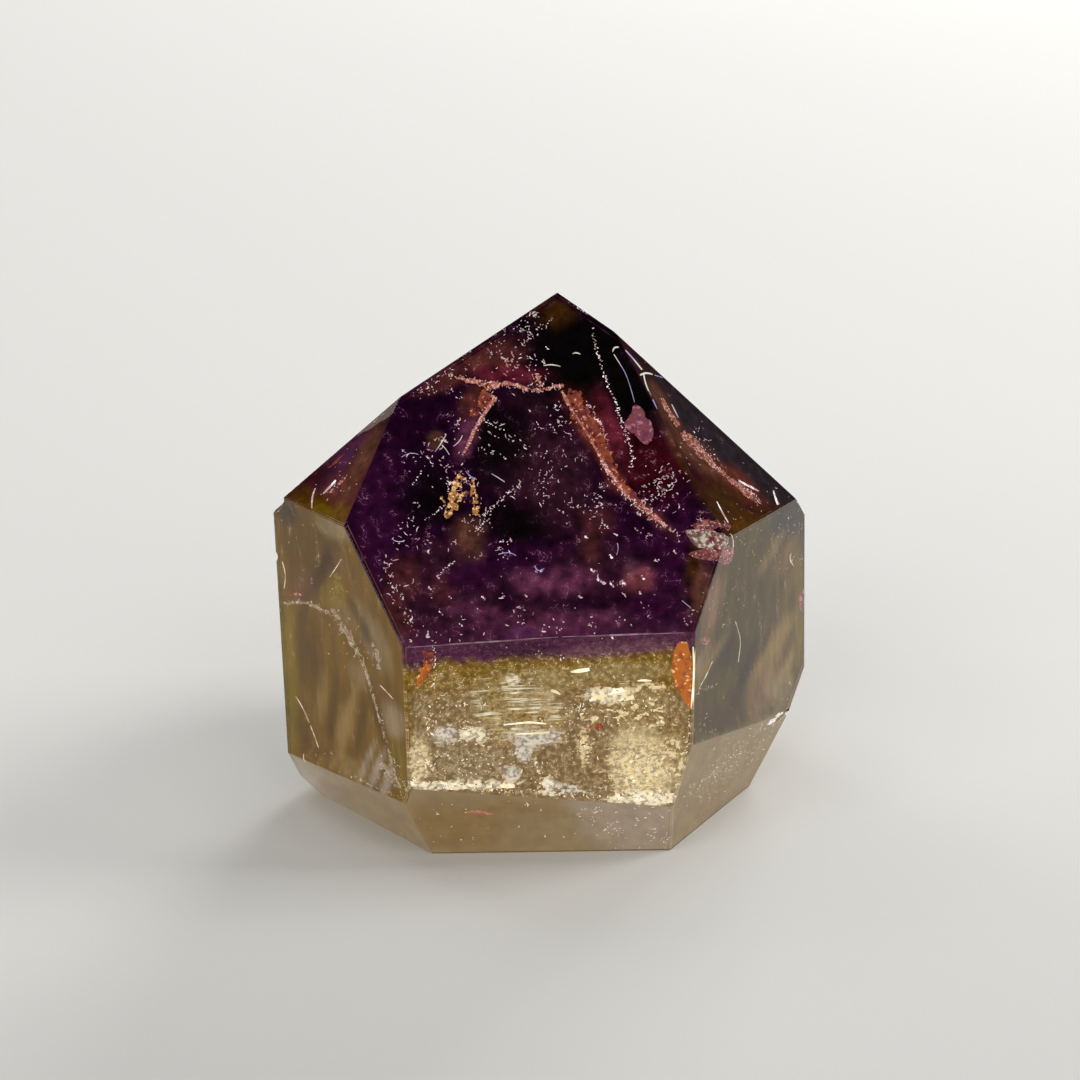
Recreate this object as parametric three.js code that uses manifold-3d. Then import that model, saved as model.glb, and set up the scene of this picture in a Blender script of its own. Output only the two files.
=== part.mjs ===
// A polished crystal of quartz, ground to a six-sided point with a flat foot to stand on.
// The stone grew as one piece, so it is one solid. It is ground here as a stone cutter grinds it:
// a rough block meets the wheel once for each flat face, and then takes its few small chips.
// Millimetres, +Z up. The front of the crystal looks along -Y.

import * as THREE from 'three';
import { mergeVertices } from 'three/addons/utils/BufferGeometryUtils.js';
import Module from 'manifold-3d';

const wasm = await Module();
wasm.setup();

// Driving dimensions. "facing" is the compass direction that a face looks in, in degrees: 0 is the
// front, and positive goes round to the right. Lengths are measured from the crystal's long axis.

const ROUGH_WIDTH = 80;
const ROUGH_HEIGHT = 60;
const WHEEL_SIZE = 200;

// The six upright side faces. "lean" is how many degrees the face leans inwards on its way up, and
// "foot" is how far it would lie from the axis at the level of the base.
const SIDE_FACES = [
  { facing: 2, lean: 0.5, foot: 21.0 },
  { facing: 63, lean: -1.5, foot: 20.4 },
  { facing: 124, lean: 3.0, foot: 23.0 },
  { facing: 180, lean: -0.5, foot: 22.6 },
  { facing: -121, lean: -1.0, foot: 19.0 },
  { facing: -55, lean: 0.0, foot: 22.5 },
];

// Three large faces of the point meet at the tip, and three small ones stop below it. "slope" is
// the angle to the level, and "peak" is the height at which the face would cross the axis.
const LARGE_POINT_FACES = [
  { facing: 1, slope: 50.0, peak: 46.7 },
  { facing: 125, slope: 49.0, peak: 49.8 },
  { facing: -128, slope: 46.5, peak: 46.7 },
];
const SMALL_POINT_FACES = [
  { facing: 67, slope: 49.0, peak: 52.5 },
  { facing: 180, slope: 49.0, peak: 53.5 },
  { facing: -55, slope: 47.5, peak: 55.0 },
];

// The bevels ground round the foot. "flare" is how many degrees a bevel leans outwards on its way
// up, and "foot" is how far its lower edge lies from the axis.
const FOOT_BEVELS = [
  { facing: -1, flare: 24.5, foot: 17.9 },
  { facing: 60, flare: 14.0, foot: 18.5 },
  { facing: 118, flare: 43.0, foot: 15.0 },
  { facing: 180, flare: 36.0, foot: 18.2 },
  { facing: -131, flare: 58.0, foot: 13.8 },
  { facing: -52, flare: 29.0, foot: 19.4 },
];

// Shell-shaped chips: where the edge is chipped, which way the chip faces, how wide the curve of
// the break is and how deep it bites.
const CHIPS = [
  { at: [-24.3, -4.5, 29.4], towards: [-0.8, -0.1, 0.6], radius: 2.0, bite: 0.35 },
  { at: [-24.9, -3.7, 24.1], towards: [-1.0, -0.2, 0.0], radius: 0.6, bite: 0.25 },
  { at: [-17.8, -13.9, 5.6], towards: [-0.5, -0.6, -0.3], radius: 0.9, bite: 0.12 },
  { at: [-14.9, -18.0, 6.1], towards: [-0.5, -0.6, -0.3], radius: 0.7, bite: 0.12 },
  { at: [-12.6, -21.2, 7.6], towards: [-0.5, -0.8, -0.2], radius: 0.8, bite: 0.15 },
  { at: [12.8, -20.4, 10.6], towards: [0.5, -0.8, 0.0], radius: 0.7, bite: 0.12 },
];

// A small broken step on the right, where a side face, its bevel and the next bevel meet.
const LEDGE = { at: [22.6, -1.2, 5.9], facing: 63, length: 3.0, depth: 0.5, height: 0.7 };

// A closed three.js geometry as a solid that can be cut.
function toSolid(geometry) {
  const bare = new THREE.BufferGeometry();
  bare.setAttribute('position', geometry.getAttribute('position'));
  bare.setIndex(geometry.getIndex());
  const merged = mergeVertices(bare, 1e-5);
  return new wasm.Manifold(new wasm.Mesh({
    numProp: 3,
    vertProperties: new Float32Array(merged.getAttribute('position').array),
    triVerts: new Uint32Array(merged.getIndex().array),
  }));
}

// The solid as a flat-shaded geometry.
function toGeometry(solid) {
  const mesh = solid.getMesh();
  const indexed = new THREE.BufferGeometry();
  indexed.setAttribute('position', new THREE.BufferAttribute(mesh.vertProperties, 3));
  indexed.setIndex(new THREE.BufferAttribute(mesh.triVerts, 1));
  const flat = indexed.toNonIndexed();
  flat.computeVertexNormals();
  return flat;
}

// The outward direction of a face that looks to "facing" and is tipped up by "tip" degrees.
function outward(facing, tip) {
  const round = THREE.MathUtils.degToRad(facing);
  const up = THREE.MathUtils.degToRad(tip);
  return new THREE.Vector3(
    Math.sin(round) * Math.cos(up),
    -Math.cos(round) * Math.cos(up),
    Math.sin(up),
  );
}

// One pass of the wheel: everything beyond the plane through "point" is ground away.
function grind(stone, normal, point) {
  const wheel = new THREE.BoxGeometry(WHEEL_SIZE, WHEEL_SIZE, WHEEL_SIZE);
  wheel.translate(0, 0, WHEEL_SIZE / 2);
  const turn = new THREE.Quaternion().setFromUnitVectors(new THREE.Vector3(0, 0, 1), normal);
  wheel.applyQuaternion(turn);
  wheel.translate(point.x, point.y, point.z);
  return stone.subtract(toSolid(wheel));
}

// The uncut block, sitting on the level of the base.
function roughBlock() {
  const block = new THREE.BoxGeometry(ROUGH_WIDTH, ROUGH_WIDTH, ROUGH_HEIGHT);
  block.translate(0, 0, ROUGH_HEIGHT / 2);
  return toSolid(block);
}

// A point at a distance from the axis, at the level of the base.
function atFoot({ facing, foot }) {
  return outward(facing, 0).multiplyScalar(foot);
}

function grindSides(stone) {
  return SIDE_FACES.reduce(
    (left, face) => grind(left, outward(face.facing, face.lean), atFoot(face)),
    stone,
  );
}

function grindPoint(stone) {
  return [...LARGE_POINT_FACES, ...SMALL_POINT_FACES].reduce(
    (left, face) => grind(left, outward(face.facing, 90 - face.slope), new THREE.Vector3(0, 0, face.peak)),
    stone,
  );
}

function grindBevels(stone) {
  return FOOT_BEVELS.reduce(
    (left, face) => grind(left, outward(face.facing, -face.flare), atFoot(face)),
    stone,
  );
}

// A chip is the part of a ball that dips into the stone.
function chip(stone, { at, towards, radius, bite }) {
  const ball = new THREE.IcosahedronGeometry(radius, 3);
  const centre = new THREE.Vector3(...towards).setLength(radius - bite).add(new THREE.Vector3(...at));
  ball.translate(centre.x, centre.y, centre.z);
  return stone.subtract(toSolid(ball));
}

// The broken step is a small block taken out along its edge.
function breakLedge(stone, { at, facing, length, depth, height }) {
  const bite = new THREE.BoxGeometry(length, 2 * depth, height);
  bite.rotateZ(THREE.MathUtils.degToRad(facing));
  bite.translate(...at);
  return stone.subtract(toSolid(bite));
}

// The whole crystal, with its base centred on the origin.
function quartzPoint() {
  const polished = grindBevels(grindPoint(grindSides(roughBlock())));
  const chipped = CHIPS.reduce(chip, polished);
  const geometry = toGeometry(breakLedge(chipped, LEDGE));
  geometry.computeBoundingBox();
  const centre = geometry.boundingBox.getCenter(new THREE.Vector3());
  geometry.translate(-centre.x, -centre.y, -geometry.boundingBox.min.z);
  return geometry;
}

const quartz = new THREE.MeshStandardMaterial({
  color: 0x7d6142,
  roughness: 0.06,
  metalness: 0,
  flatShading: true,
});

const crystal = new THREE.Mesh(quartzPoint(), quartz);
crystal.name = 'quartz_point';

const part = new THREE.Group();
part.add(crystal);

export default part;
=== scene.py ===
"""A polished quartz point: amethyst under the tip, smoky olive below, with iron-red veils grown into it."""
import logging
import math
import random
from dataclasses import dataclass, field
from enum import Enum
from typing import Sequence

import bmesh
import bpy
from mathutils import Matrix, Quaternion, Vector, geometry, noise


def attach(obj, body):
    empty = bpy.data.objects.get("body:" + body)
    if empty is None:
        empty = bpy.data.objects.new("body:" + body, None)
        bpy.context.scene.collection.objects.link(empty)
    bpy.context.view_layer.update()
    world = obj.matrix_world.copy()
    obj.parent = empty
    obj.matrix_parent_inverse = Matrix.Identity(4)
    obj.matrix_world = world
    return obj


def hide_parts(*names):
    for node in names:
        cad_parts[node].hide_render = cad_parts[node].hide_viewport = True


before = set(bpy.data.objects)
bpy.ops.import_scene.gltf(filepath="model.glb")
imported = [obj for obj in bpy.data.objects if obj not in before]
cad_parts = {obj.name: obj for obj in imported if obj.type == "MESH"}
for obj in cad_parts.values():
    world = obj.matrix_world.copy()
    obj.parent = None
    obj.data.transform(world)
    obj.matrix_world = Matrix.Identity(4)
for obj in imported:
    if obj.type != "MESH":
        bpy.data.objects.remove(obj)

LOG = logging.getLogger("quartz_point")
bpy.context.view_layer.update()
NODE = "quartz_point"
BODY = "root"
MM = 0.001
QUARTZ_IOR = 1.544
FRAME_SIDE = 1080

Spot = tuple[float, float]
Colour = tuple[float, float, float]


# ---------------------------------------------------------------- shader graph


class Value:
    """A number socket of a node graph that takes part in sums."""

    def __init__(self, graph: "Graph", socket: bpy.types.NodeSocket) -> None:
        """Wraps a socket.

        Args:
            graph: The graph that holds the socket.
            socket: The output socket.
        """
        self.graph = graph
        self.socket = socket

    def _sum(self, operation: str, first: object, second: object) -> "Value":
        """Adds a Math node.

        Args:
            operation: The Math node's operation.
            first: Its first value or socket.
            second: Its second value or socket.

        Returns:
            The node's result.
        """
        return self.graph.node("ShaderNodeMath", {"operation": operation}, {0: first, 1: second})

    def __add__(self, other: object) -> "Value":
        """Returns the sum."""
        return self._sum("ADD", self, other)

    def __radd__(self, other: object) -> "Value":
        """Returns the sum."""
        return self._sum("ADD", other, self)

    def __sub__(self, other: object) -> "Value":
        """Returns the difference."""
        return self._sum("SUBTRACT", self, other)

    def __rsub__(self, other: object) -> "Value":
        """Returns the difference."""
        return self._sum("SUBTRACT", other, self)

    def __mul__(self, other: object) -> "Value":
        """Returns the product."""
        return self._sum("MULTIPLY", self, other)

    def __rmul__(self, other: object) -> "Value":
        """Returns the product."""
        return self._sum("MULTIPLY", other, self)

    def __abs__(self) -> "Value":
        """Returns the size of this number, without its sign."""
        return self._sum("ABSOLUTE", self, 0.0)

    def band(self, low: float, high: float) -> "Value":
        """Returns this number stretched so that low gives 0 and high gives 1, clamped."""
        limits = {"From Min": low, "From Max": high}
        return self.graph.node("ShaderNodeMapRange", {"clamp": True}, {"Value": self, **limits})


class Graph:
    """The node graph of one material."""

    def __init__(self, name: str) -> None:
        """Makes an empty material.

        Args:
            name: The material's name.
        """
        self.material = bpy.data.materials.new(name)
        self.material.use_nodes = True
        self.tree = self.material.node_tree
        self.tree.nodes.clear()
        self.out = self.tree.nodes.new("ShaderNodeOutputMaterial")

    def raw(self, kind: str, settings: dict[str, object], inputs: dict[object, object]) -> bpy.types.Node:
        """Adds a node.

        Args:
            kind: The node's type.
            settings: Properties of the node, set before its sockets.
            inputs: Values or links of its sockets, by name or number.

        Returns:
            The node.
        """
        made = self.tree.nodes.new(kind)
        for key, setting in settings.items():
            if key == "stops":
                self._stops(made.color_ramp, setting)
            else:
                setattr(made, key, setting)
        for key, value in inputs.items():
            source = value.socket if isinstance(value, Value) else value
            if isinstance(source, bpy.types.NodeSocket):
                self.tree.links.new(source, made.inputs[key])
            else:
                made.inputs[key].default_value = source
        return made

    def node(
        self, kind: str, settings: dict[str, object], inputs: dict[object, object], output: object = 0
    ) -> Value:
        """Adds a node and returns one of its outputs.

        Args:
            kind: The node's type.
            settings: Properties of the node.
            inputs: Values or links of its sockets.
            output: The output wanted, by name or number.

        Returns:
            The output.
        """
        return Value(self, self.raw(kind, settings, inputs).outputs[output])

    @staticmethod
    def _stops(ramp: bpy.types.ColorRamp, stops: Sequence[tuple[float, Colour]]) -> None:
        """Sets a ramp's stops.

        Args:
            ramp: The ramp.
            stops: Places and colours, in rising order.
        """
        while len(ramp.elements) < len(stops):
            ramp.elements.new(1.0)
        for element, (place, colour) in zip(ramp.elements, stops):
            element.position = place
            element.color = (*colour, 1.0)

    def place(self) -> Value:
        """Returns the object coordinates, in metres."""
        return self.node("ShaderNodeTexCoord", {}, {}, "Object")

    def along(self, axis: str) -> Value:
        """Returns how far along an axis the place is, in metres.

        Args:
            axis: X, Y or Z.
        """
        return self.node("ShaderNodeSeparateXYZ", {}, {"Vector": self.place()}, axis)

    def stretched(self, scale: Sequence[float], turn: Sequence[float] = (0, 0, 0)) -> Value:
        """Returns the object coordinates stretched and turned.

        Args:
            scale: The stretch along each axis.
            turn: The turn about each axis, in degrees.
        """
        turned = [math.radians(angle) for angle in turn]
        return self.node(
            "ShaderNodeMapping", {}, {"Vector": self.place(), "Rotation": turned, "Scale": scale},
        )

    def grain(
        self, grain_mm: float, detail: float = 4.0, vector: Value | None = None, warp: float = 0.0
    ) -> Value:
        """Returns noise whose lumps are about grain_mm across.

        Args:
            grain_mm: The size of a lump, in millimetres.
            detail: The number of finer octaves.
            vector: The coordinates, or the object's own.
            warp: How much the noise is distorted.
        """
        inputs = {"Scale": 1 / (grain_mm * MM), "Detail": detail, "Distortion": warp}
        inputs["Vector"] = vector or self.place()
        return self.node("ShaderNodeTexNoise", {}, inputs, 0)

    def ramp(self, factor: Value, stops: Sequence[tuple[float, Colour]]) -> Value:
        """Returns a colour picked along a ramp.

        Args:
            factor: The place on the ramp.
            stops: The ramp's places and colours.
        """
        return self.node("ShaderNodeValToRGB", {"stops": stops}, {0: factor})

    def attribute(self, name: str, output: str) -> Value:
        """Returns a value that the mesh carries.

        Args:
            name: The attribute's name.
            output: Color or Fac.
        """
        return self.node("ShaderNodeAttribute", {"attribute_name": name}, {}, output)

    def scale(self, colour: Value, factor: object) -> Value:
        """Returns a colour made lighter or darker.

        Args:
            colour: The colour.
            factor: What it is multiplied by.
        """
        return self.node("ShaderNodeVectorMath", {"operation": "SCALE"}, {0: colour, "Scale": factor})

    def blend(self, factor: object, first: object, second: object) -> Value:
        """Returns a mix of two colours.

        Args:
            factor: How much of the second.
            first: The first colour.
            second: The second colour.
        """
        settings = {"data_type": "RGBA"}
        full = [(*c, 1.0) if isinstance(c, tuple) and len(c) == 3 else c for c in (first, second)]
        return self.node("ShaderNodeMix", settings, {0: factor, 6: full[0], 7: full[1]}, 2)

    def bump(self, height: Value, strength: float, depth_mm: float) -> Value:
        """Returns a normal bent by a height.

        Args:
            height: The height.
            strength: How much of it is used.
            depth_mm: The height's full depth, in millimetres.
        """
        inputs = {"Height": height, "Strength": strength, "Distance": depth_mm * MM}
        return self.node("ShaderNodeBump", {}, inputs)

    def surface(self, shader: Value) -> None:
        """Makes shader the material's surface."""
        self.tree.links.new(shader.socket, self.out.inputs["Surface"])

    def fill(self, tint: "Tint") -> None:
        """Fills the inside with a plain absorbing volume.

        Args:
            tint: What is left of white light after its thickness.
        """
        colour, density = tint.absorption()
        inputs = {"Color": (*colour, 1.0), "Density": density}
        inner = self.node("ShaderNodeVolumeAbsorption", {}, inputs)
        self.tree.links.new(inner.socket, self.out.inputs["Volume"])


@dataclass(frozen=True)
class Tint:
    """The colour that white light has after crossing a thickness of clear crystal."""

    seen: Colour
    thickness_mm: float

    def absorption(self) -> tuple[Colour, float]:
        """Returns the absorption colour and the density per metre that give this tint."""
        loss = [-math.log(max(part, 0.001)) / (self.thickness_mm * MM) for part in self.seen]
        most = max(loss)
        return tuple(1 - part / most for part in loss), most


# ---------------------------------------------------------------- finishes


@dataclass(frozen=True)
class ClearFinish:
    """Clear polished crystal with a body colour."""

    name: str
    tint: Tint
    roughness: float = 0.015
    shine: Colour = (0.36, 0.30, 0.14)
    ripple_mm: float = 3.0
    ripple_strength: float = 0.05
    ripple_depth_mm: float = 0.4

    def material(self) -> bpy.types.Material:
        """Returns the material."""
        graph = Graph(self.name)
        swell = graph.grain(self.ripple_mm, 1.0)
        inputs = {
            "Base Color": (1.0, 1.0, 1.0, 1.0), "Roughness": self.roughness, "IOR": QUARTZ_IOR,
            "Specular Tint": (*self.shine, 1.0), "Transmission Weight": 1.0,
            "Normal": graph.bump(swell, self.ripple_strength, self.ripple_depth_mm),
        }
        graph.surface(graph.node("ShaderNodeBsdfPrincipled", {}, inputs))
        graph.fill(self.tint)
        return graph.material


class Hue(Enum):
    """The colours that grew in the stone, as linear light; the palest ones also carry painted reflection."""

    INK = (0.0016, 0.0010, 0.0014)
    NIGHT = (0.013, 0.0007, 0.012)
    PLUM = (0.030, 0.003, 0.025)
    VIOLET = (0.080, 0.017, 0.053)
    BRIGHT_VIOLET = (0.105, 0.026, 0.085)
    MAUVE = (0.130, 0.030, 0.072)
    MAUVE_GREY = (0.140, 0.055, 0.085)
    MURK = (0.034, 0.008, 0.017)
    WINE = (0.115, 0.012, 0.024)
    DARK_WINE = (0.036, 0.002, 0.006)
    MAROON = (0.085, 0.020, 0.018)
    ROSE = (0.20, 0.045, 0.060)
    SALMON = (0.42, 0.14, 0.105)
    RUST = (0.20, 0.036, 0.016)
    EMBER = (0.30, 0.065, 0.018)
    ORANGE = (0.47, 0.122, 0.012)
    AMBER = (0.42, 0.165, 0.036)
    BROWN = (0.050, 0.018, 0.002)
    SEPIA = (0.110, 0.040, 0.023)
    MUSTARD = (0.080, 0.028, 0.001)
    OLIVE = (0.165, 0.080, 0.002)
    DARK_OLIVE = (0.040, 0.010, 0.000)
    FRONT_OLIVE = (0.215, 0.118, 0.006)
    MOSS = (0.190, 0.120, 0.001)
    TAN = (0.170, 0.080, 0.012)
    STREAK = (0.280, 0.172, 0.050)
    UMBER = (0.27, 0.175, 0.080)
    GOLDEN = (0.33, 0.235, 0.095)
    # PALE_GOLD and CREAM are partly painted reflection: the sheen of healed fractures that mirror the paper.
    PALE_GOLD = (0.66, 0.54, 0.32)
    CREAM = (0.78, 0.70, 0.52)
    SMOKE = (0.295, 0.210, 0.110)
    WARM_SMOKE = (0.26, 0.165, 0.068)
    PALE_SMOKE = (0.37, 0.29, 0.215)
    LILAC_GREY = (0.205, 0.105, 0.060)
    DUSK = (0.022, 0.014, 0.018)
    PEAT = (0.012, 0.002, 0.000)
    BARK = (0.120, 0.078, 0.020)
    UMBRA = (0.062, 0.036, 0.000)
    # SILVER is partly painted reflection, like the healed fractures' sheen.
    SILVER = (0.58, 0.52, 0.44)


@dataclass(frozen=True)
class VeilFinish:
    """A soft sheet that takes its colour from its stains, with a fine mottle and wisps over it; its emission
    is a painted glow that stands in for the light inside the stone.
    """

    name: str
    mottle_mm: float = 0.9
    contrast: float = 0.5
    stretch: tuple[float, float, float] = (1.0, 1.0, 1.0)
    turn: tuple[float, float, float] = (0.0, 0.0, 0.0)
    wisp_mm: float = 0.5
    wisp_line: float = 0.02
    wisp_from: float = 0.55
    wisp: Colour = (0.30, 0.16, 0.17)
    clear: bool = False
    glow: float = 0.7
    lit: float = 0.5

    def material(self) -> bpy.types.Material:
        """Returns the material."""
        graph = Graph(self.name)
        where = graph.stretched(self.stretch, self.turn)
        mottle = graph.grain(self.mottle_mm, 3.0, where)
        strand = graph.grain(self.wisp_mm, 1.0, where)
        shade = 1 - self.contrast + mottle.band(0.3, 0.7) * (2 * self.contrast)
        tint = graph.scale(graph.attribute("tint", "Color"), shade)
        line = 1 - abs(strand - 0.5).band(0.0, self.wisp_line)
        cover = graph.attribute("cover", "Fac")
        wisps = line * mottle.band(self.wisp_from, self.wisp_from + 0.08)
        if not self.clear:
            wisps = wisps * cover
        colour = graph.blend(wisps, tint, self.wisp)
        # Emission Color and Strength make the sheet glow in its own colour: painted light inside the stone.
        inputs = {
            "Base Color": graph.scale(colour, self.lit), "Roughness": 0.7, "Specular IOR Level": 0.0,
            "Emission Color": colour, "Emission Strength": self.glow,
        }
        if self.clear:
            inputs["Alpha"] = cover
        graph.surface(graph.node("ShaderNodeBsdfPrincipled", {}, inputs))
        return graph.material


@dataclass(frozen=True)
class LineFinish:
    """Only fine bright lines and grains, on an otherwise unseen sheet; their pale colour and glow are painted
    glints.
    """

    name: str
    cell_mm: float = 1.3
    line: float = 0.05
    often: float = 0.45
    patch_mm: float = 1.6
    stretch: tuple[float, float, float] = (1.0, 1.0, 1.0)
    colour: Colour = (0.85, 0.74, 0.74)
    tinge: Colour = (0.55, 0.30, 0.32)
    glow: float = 0.7

    def material(self) -> bpy.types.Material:
        """Returns the material."""
        graph = Graph(self.name)
        where = graph.stretched(self.stretch)
        cells = graph.grain(self.cell_mm, 2.0, where)
        patch = graph.grain(self.patch_mm, 1.0)
        line = 1 - abs(cells - 0.5).band(self.line * 0.4, self.line)
        cover = line * patch.band(self.often, self.often + 0.05) * graph.attribute("cover", "Fac")
        # The pale line colour and the emission below are painted glints and a painted glow.
        colour = graph.blend(patch.band(0.5, 0.62), self.tinge, self.colour)
        inputs = {
            "Base Color": colour, "Roughness": 0.4, "Alpha": cover, "Emission Color": colour,
            "Emission Strength": self.glow,
        }
        graph.surface(graph.node("ShaderNodeBsdfPrincipled", {}, inputs))
        return graph.material


@dataclass(frozen=True)
class FoilFinish:
    """A healed fracture that shines like crumpled foil, broken into plates with clear gaps; its pale colours
    are partly painted reflection, its crumple's hollows are darkened as painted shade, and its emission is a
    painted glow.
    """

    name: str
    plate_mm: float = 0.9
    crumple_mm: float = 0.45
    stretch: tuple[float, float, float] = (1.0, 1.0, 1.0)
    bend: float = 0.8
    metallic: float = 0.2
    edge: float = 0.03
    dark: float = 0.45
    glow: float = 0.8

    def material(self) -> bpy.types.Material:
        """Returns the material."""
        graph = Graph(self.name)
        where = graph.stretched(self.stretch)
        plates = graph.grain(self.plate_mm, 4.0, where)
        crumple = graph.grain(self.crumple_mm, 3.0, where)
        tint = graph.attribute("tint", "Color")
        # Painted shade: the tint is darkened where the crumple is low, in its hollows; the emission below is
        # a painted glow.
        colour = graph.blend(crumple.band(0.42, 0.56), graph.scale(tint, self.dark), tint)
        gap = 1 - graph.attribute("cover", "Fac")
        inputs = {
            "Base Color": colour, "Metallic": self.metallic, "Roughness": 0.35,
            "Alpha": (plates - 0.28 - gap * 0.44).band(0.0, self.edge),
            "Normal": graph.bump(crumple, self.bend, 0.25), "Emission Color": colour,
            "Emission Strength": self.glow,
        }
        graph.surface(graph.node("ShaderNodeBsdfPrincipled", {}, inputs))
        return graph.material


@dataclass(frozen=True)
class CrustFinish:
    """A crumbly iron-stained film: earthy colours in patches, and bright grains that are painted glints; its
    emission is a painted glow.
    """

    name: str
    deep: Hue
    middle: Hue
    high: Hue
    patch_mm: float = 0.8
    grain_mm: float = 0.22
    bright: Colour = (0.85, 0.62, 0.55)
    bright_from: float = 0.60
    glow: float = 0.6

    def material(self) -> bpy.types.Material:
        """Returns the material."""
        graph = Graph(self.name)
        stops = ((0.38, self.deep.value), (0.50, self.middle.value), (0.62, self.high.value))
        patches = graph.ramp(graph.grain(self.patch_mm, 3.0), stops)
        grains = graph.grain(self.grain_mm, 2.0)
        # Painted glints: bright grains mixed over the earthy patches; the emission below is a painted glow.
        colour = graph.blend(grains.band(self.bright_from, self.bright_from + 0.06), patches, self.bright)
        inputs = {
            "Base Color": colour, "Roughness": 0.5, "Normal": graph.bump(grains, 0.9, 0.12),
            "Emission Color": colour, "Emission Strength": self.glow,
        }
        graph.surface(graph.node("ShaderNodeBsdfPrincipled", {}, inputs))
        return graph.material


@dataclass(frozen=True)
class GlintFinish:
    """The bright skin of tiny flakes and bubbles, some white and some tinged: painted glints that glow as
    painted light.
    """

    name: str
    colour: Colour = (1.0, 0.95, 0.94)
    tinge: Colour = (0.50, 0.30, 0.32)
    vary_mm: float = 0.7
    glow: float = 0.85

    def material(self) -> bpy.types.Material:
        """Returns the material."""
        graph = Graph(self.name)
        # White and tinged painted glints; the emission makes them glow.
        colour = graph.blend(graph.grain(self.vary_mm, 1.0).band(0.40, 0.58), self.colour, self.tinge)
        inputs = {
            "Base Color": colour, "Roughness": 0.3, "Emission Color": colour, "Emission Strength": self.glow,
        }
        graph.surface(graph.node("ShaderNodeBsdfPrincipled", {}, inputs))
        return graph.material


@dataclass(frozen=True)
class PaperFinish:
    """Matt paper, with painted shade that makes it duller towards the front."""

    colour: Colour = (0.90, 0.895, 0.865)
    front_shade: float = 0.84
    front_shade_from_m: float = -0.075
    front_shade_to_m: float = 0.03

    def material(self) -> bpy.types.Material:
        """Returns the material."""
        graph = Graph("paper")
        # Painted shade: the paper's colour is darkened towards the front.
        shade_fade = graph.along("Y").band(self.front_shade_from_m, self.front_shade_to_m)
        shaded_colour = tuple(self.front_shade * part for part in self.colour)
        inputs = {
            "Base Color": graph.blend(shade_fade, shaded_colour, self.colour), "Roughness": 0.9,
            "Specular IOR Level": 0.2,
        }
        graph.surface(graph.node("ShaderNodeBsdfPrincipled", {}, inputs))
        return graph.material


# ---------------------------------------------------------------- the viewer


@dataclass
class Eye:
    """The viewer's place, and what is seen from there."""

    place: Vector = field(default_factory=lambda: Vector((-0.32, -284.45, 122.28)) * MM)
    aim: Vector = field(default_factory=lambda: Vector((-0.32, -0.73, 23.89)) * MM)
    angle: float = math.radians(19.186)
    roll: float = math.radians(-1.245)

    def axes(self) -> tuple[Vector, Vector, Vector]:
        """Returns the directions to the right, up and forwards."""
        ahead = (self.aim - self.place).normalized()
        right = ahead.cross(Vector((0, 0, 1))).normalized()
        up = right.cross(ahead)
        tipped = math.cos(self.roll) * right + math.sin(self.roll) * up
        return tipped, tipped.cross(ahead), ahead

    def ray(self, spot: Spot) -> Vector:
        """Returns the direction in which a spot of the frame is seen."""
        right, up, ahead = self.axes()
        half = FRAME_SIDE / 2
        reach = half / math.tan(self.angle / 2)
        return (right * (spot[0] - half) - up * (spot[1] - half) + ahead * reach).normalized()

    def spot(self, point: Vector) -> Spot:
        """Returns where in the frame a point is seen, if nothing bends the light."""
        right, up, ahead = self.axes()
        away = point - self.place
        reach = FRAME_SIDE / 2 / math.tan(self.angle / 2) / away.dot(ahead)
        half = FRAME_SIDE / 2
        return half + away.dot(right) * reach, half - away.dot(up) * reach

    def camera(self) -> bpy.types.Object:
        """Makes the scene's camera."""
        data = bpy.data.cameras.new("eye")
        data.sensor_width = 36.0
        data.angle = self.angle
        data.clip_start = 0.01
        data.clip_end = 20.0
        made = bpy.data.objects.new("eye", data)
        right, up, ahead = self.axes()
        turn = Matrix((right, up, -ahead)).transposed().to_4x4()
        made.matrix_world = Matrix.Translation(self.place) @ turn
        bpy.context.scene.collection.objects.link(made)
        bpy.context.scene.camera = made
        return made


@dataclass(frozen=True)
class Cut:
    """A flat cut: what lies beyond the plane, on the side that the normal points to, is taken away."""

    point: Vector
    normal: Vector


class Face(Enum):
    """The polished faces, each by its facing in degrees round the stone and its normal's rise."""

    TIP = (1.0, 40.0)
    RIGHT_POINT = (67.0, 41.0)
    BACK_RIGHT_POINT = (125.0, 41.0)
    BACK_POINT = (180.0, 41.0)
    BACK_LEFT_POINT = (-128.0, 43.5)
    LEFT_POINT = (-55.0, 42.5)
    FRONT = (2.0, 0.5)
    RIGHT = (63.0, -1.5)
    BACK_RIGHT = (124.0, 3.0)
    BACK = (180.0, -0.5)
    BACK_LEFT = (-121.0, -1.0)
    LEFT = (-55.0, 0.0)
    FRONT_BEVEL = (-1.0, -24.5)
    RIGHT_BEVEL = (60.0, -14.0)
    BACK_RIGHT_BEVEL = (118.0, -43.0)
    BACK_BEVEL = (180.0, -36.0)
    BACK_LEFT_BEVEL = (-131.0, -58.0)
    LEFT_BEVEL = (-52.0, -29.0)

    def outward(self) -> Vector:
        """Returns the direction in which the face looks."""
        facing, rise = (math.radians(angle) for angle in self.value)
        flat = math.cos(rise)
        return Vector((math.sin(facing) * flat, -math.cos(facing) * flat, math.sin(rise)))


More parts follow.
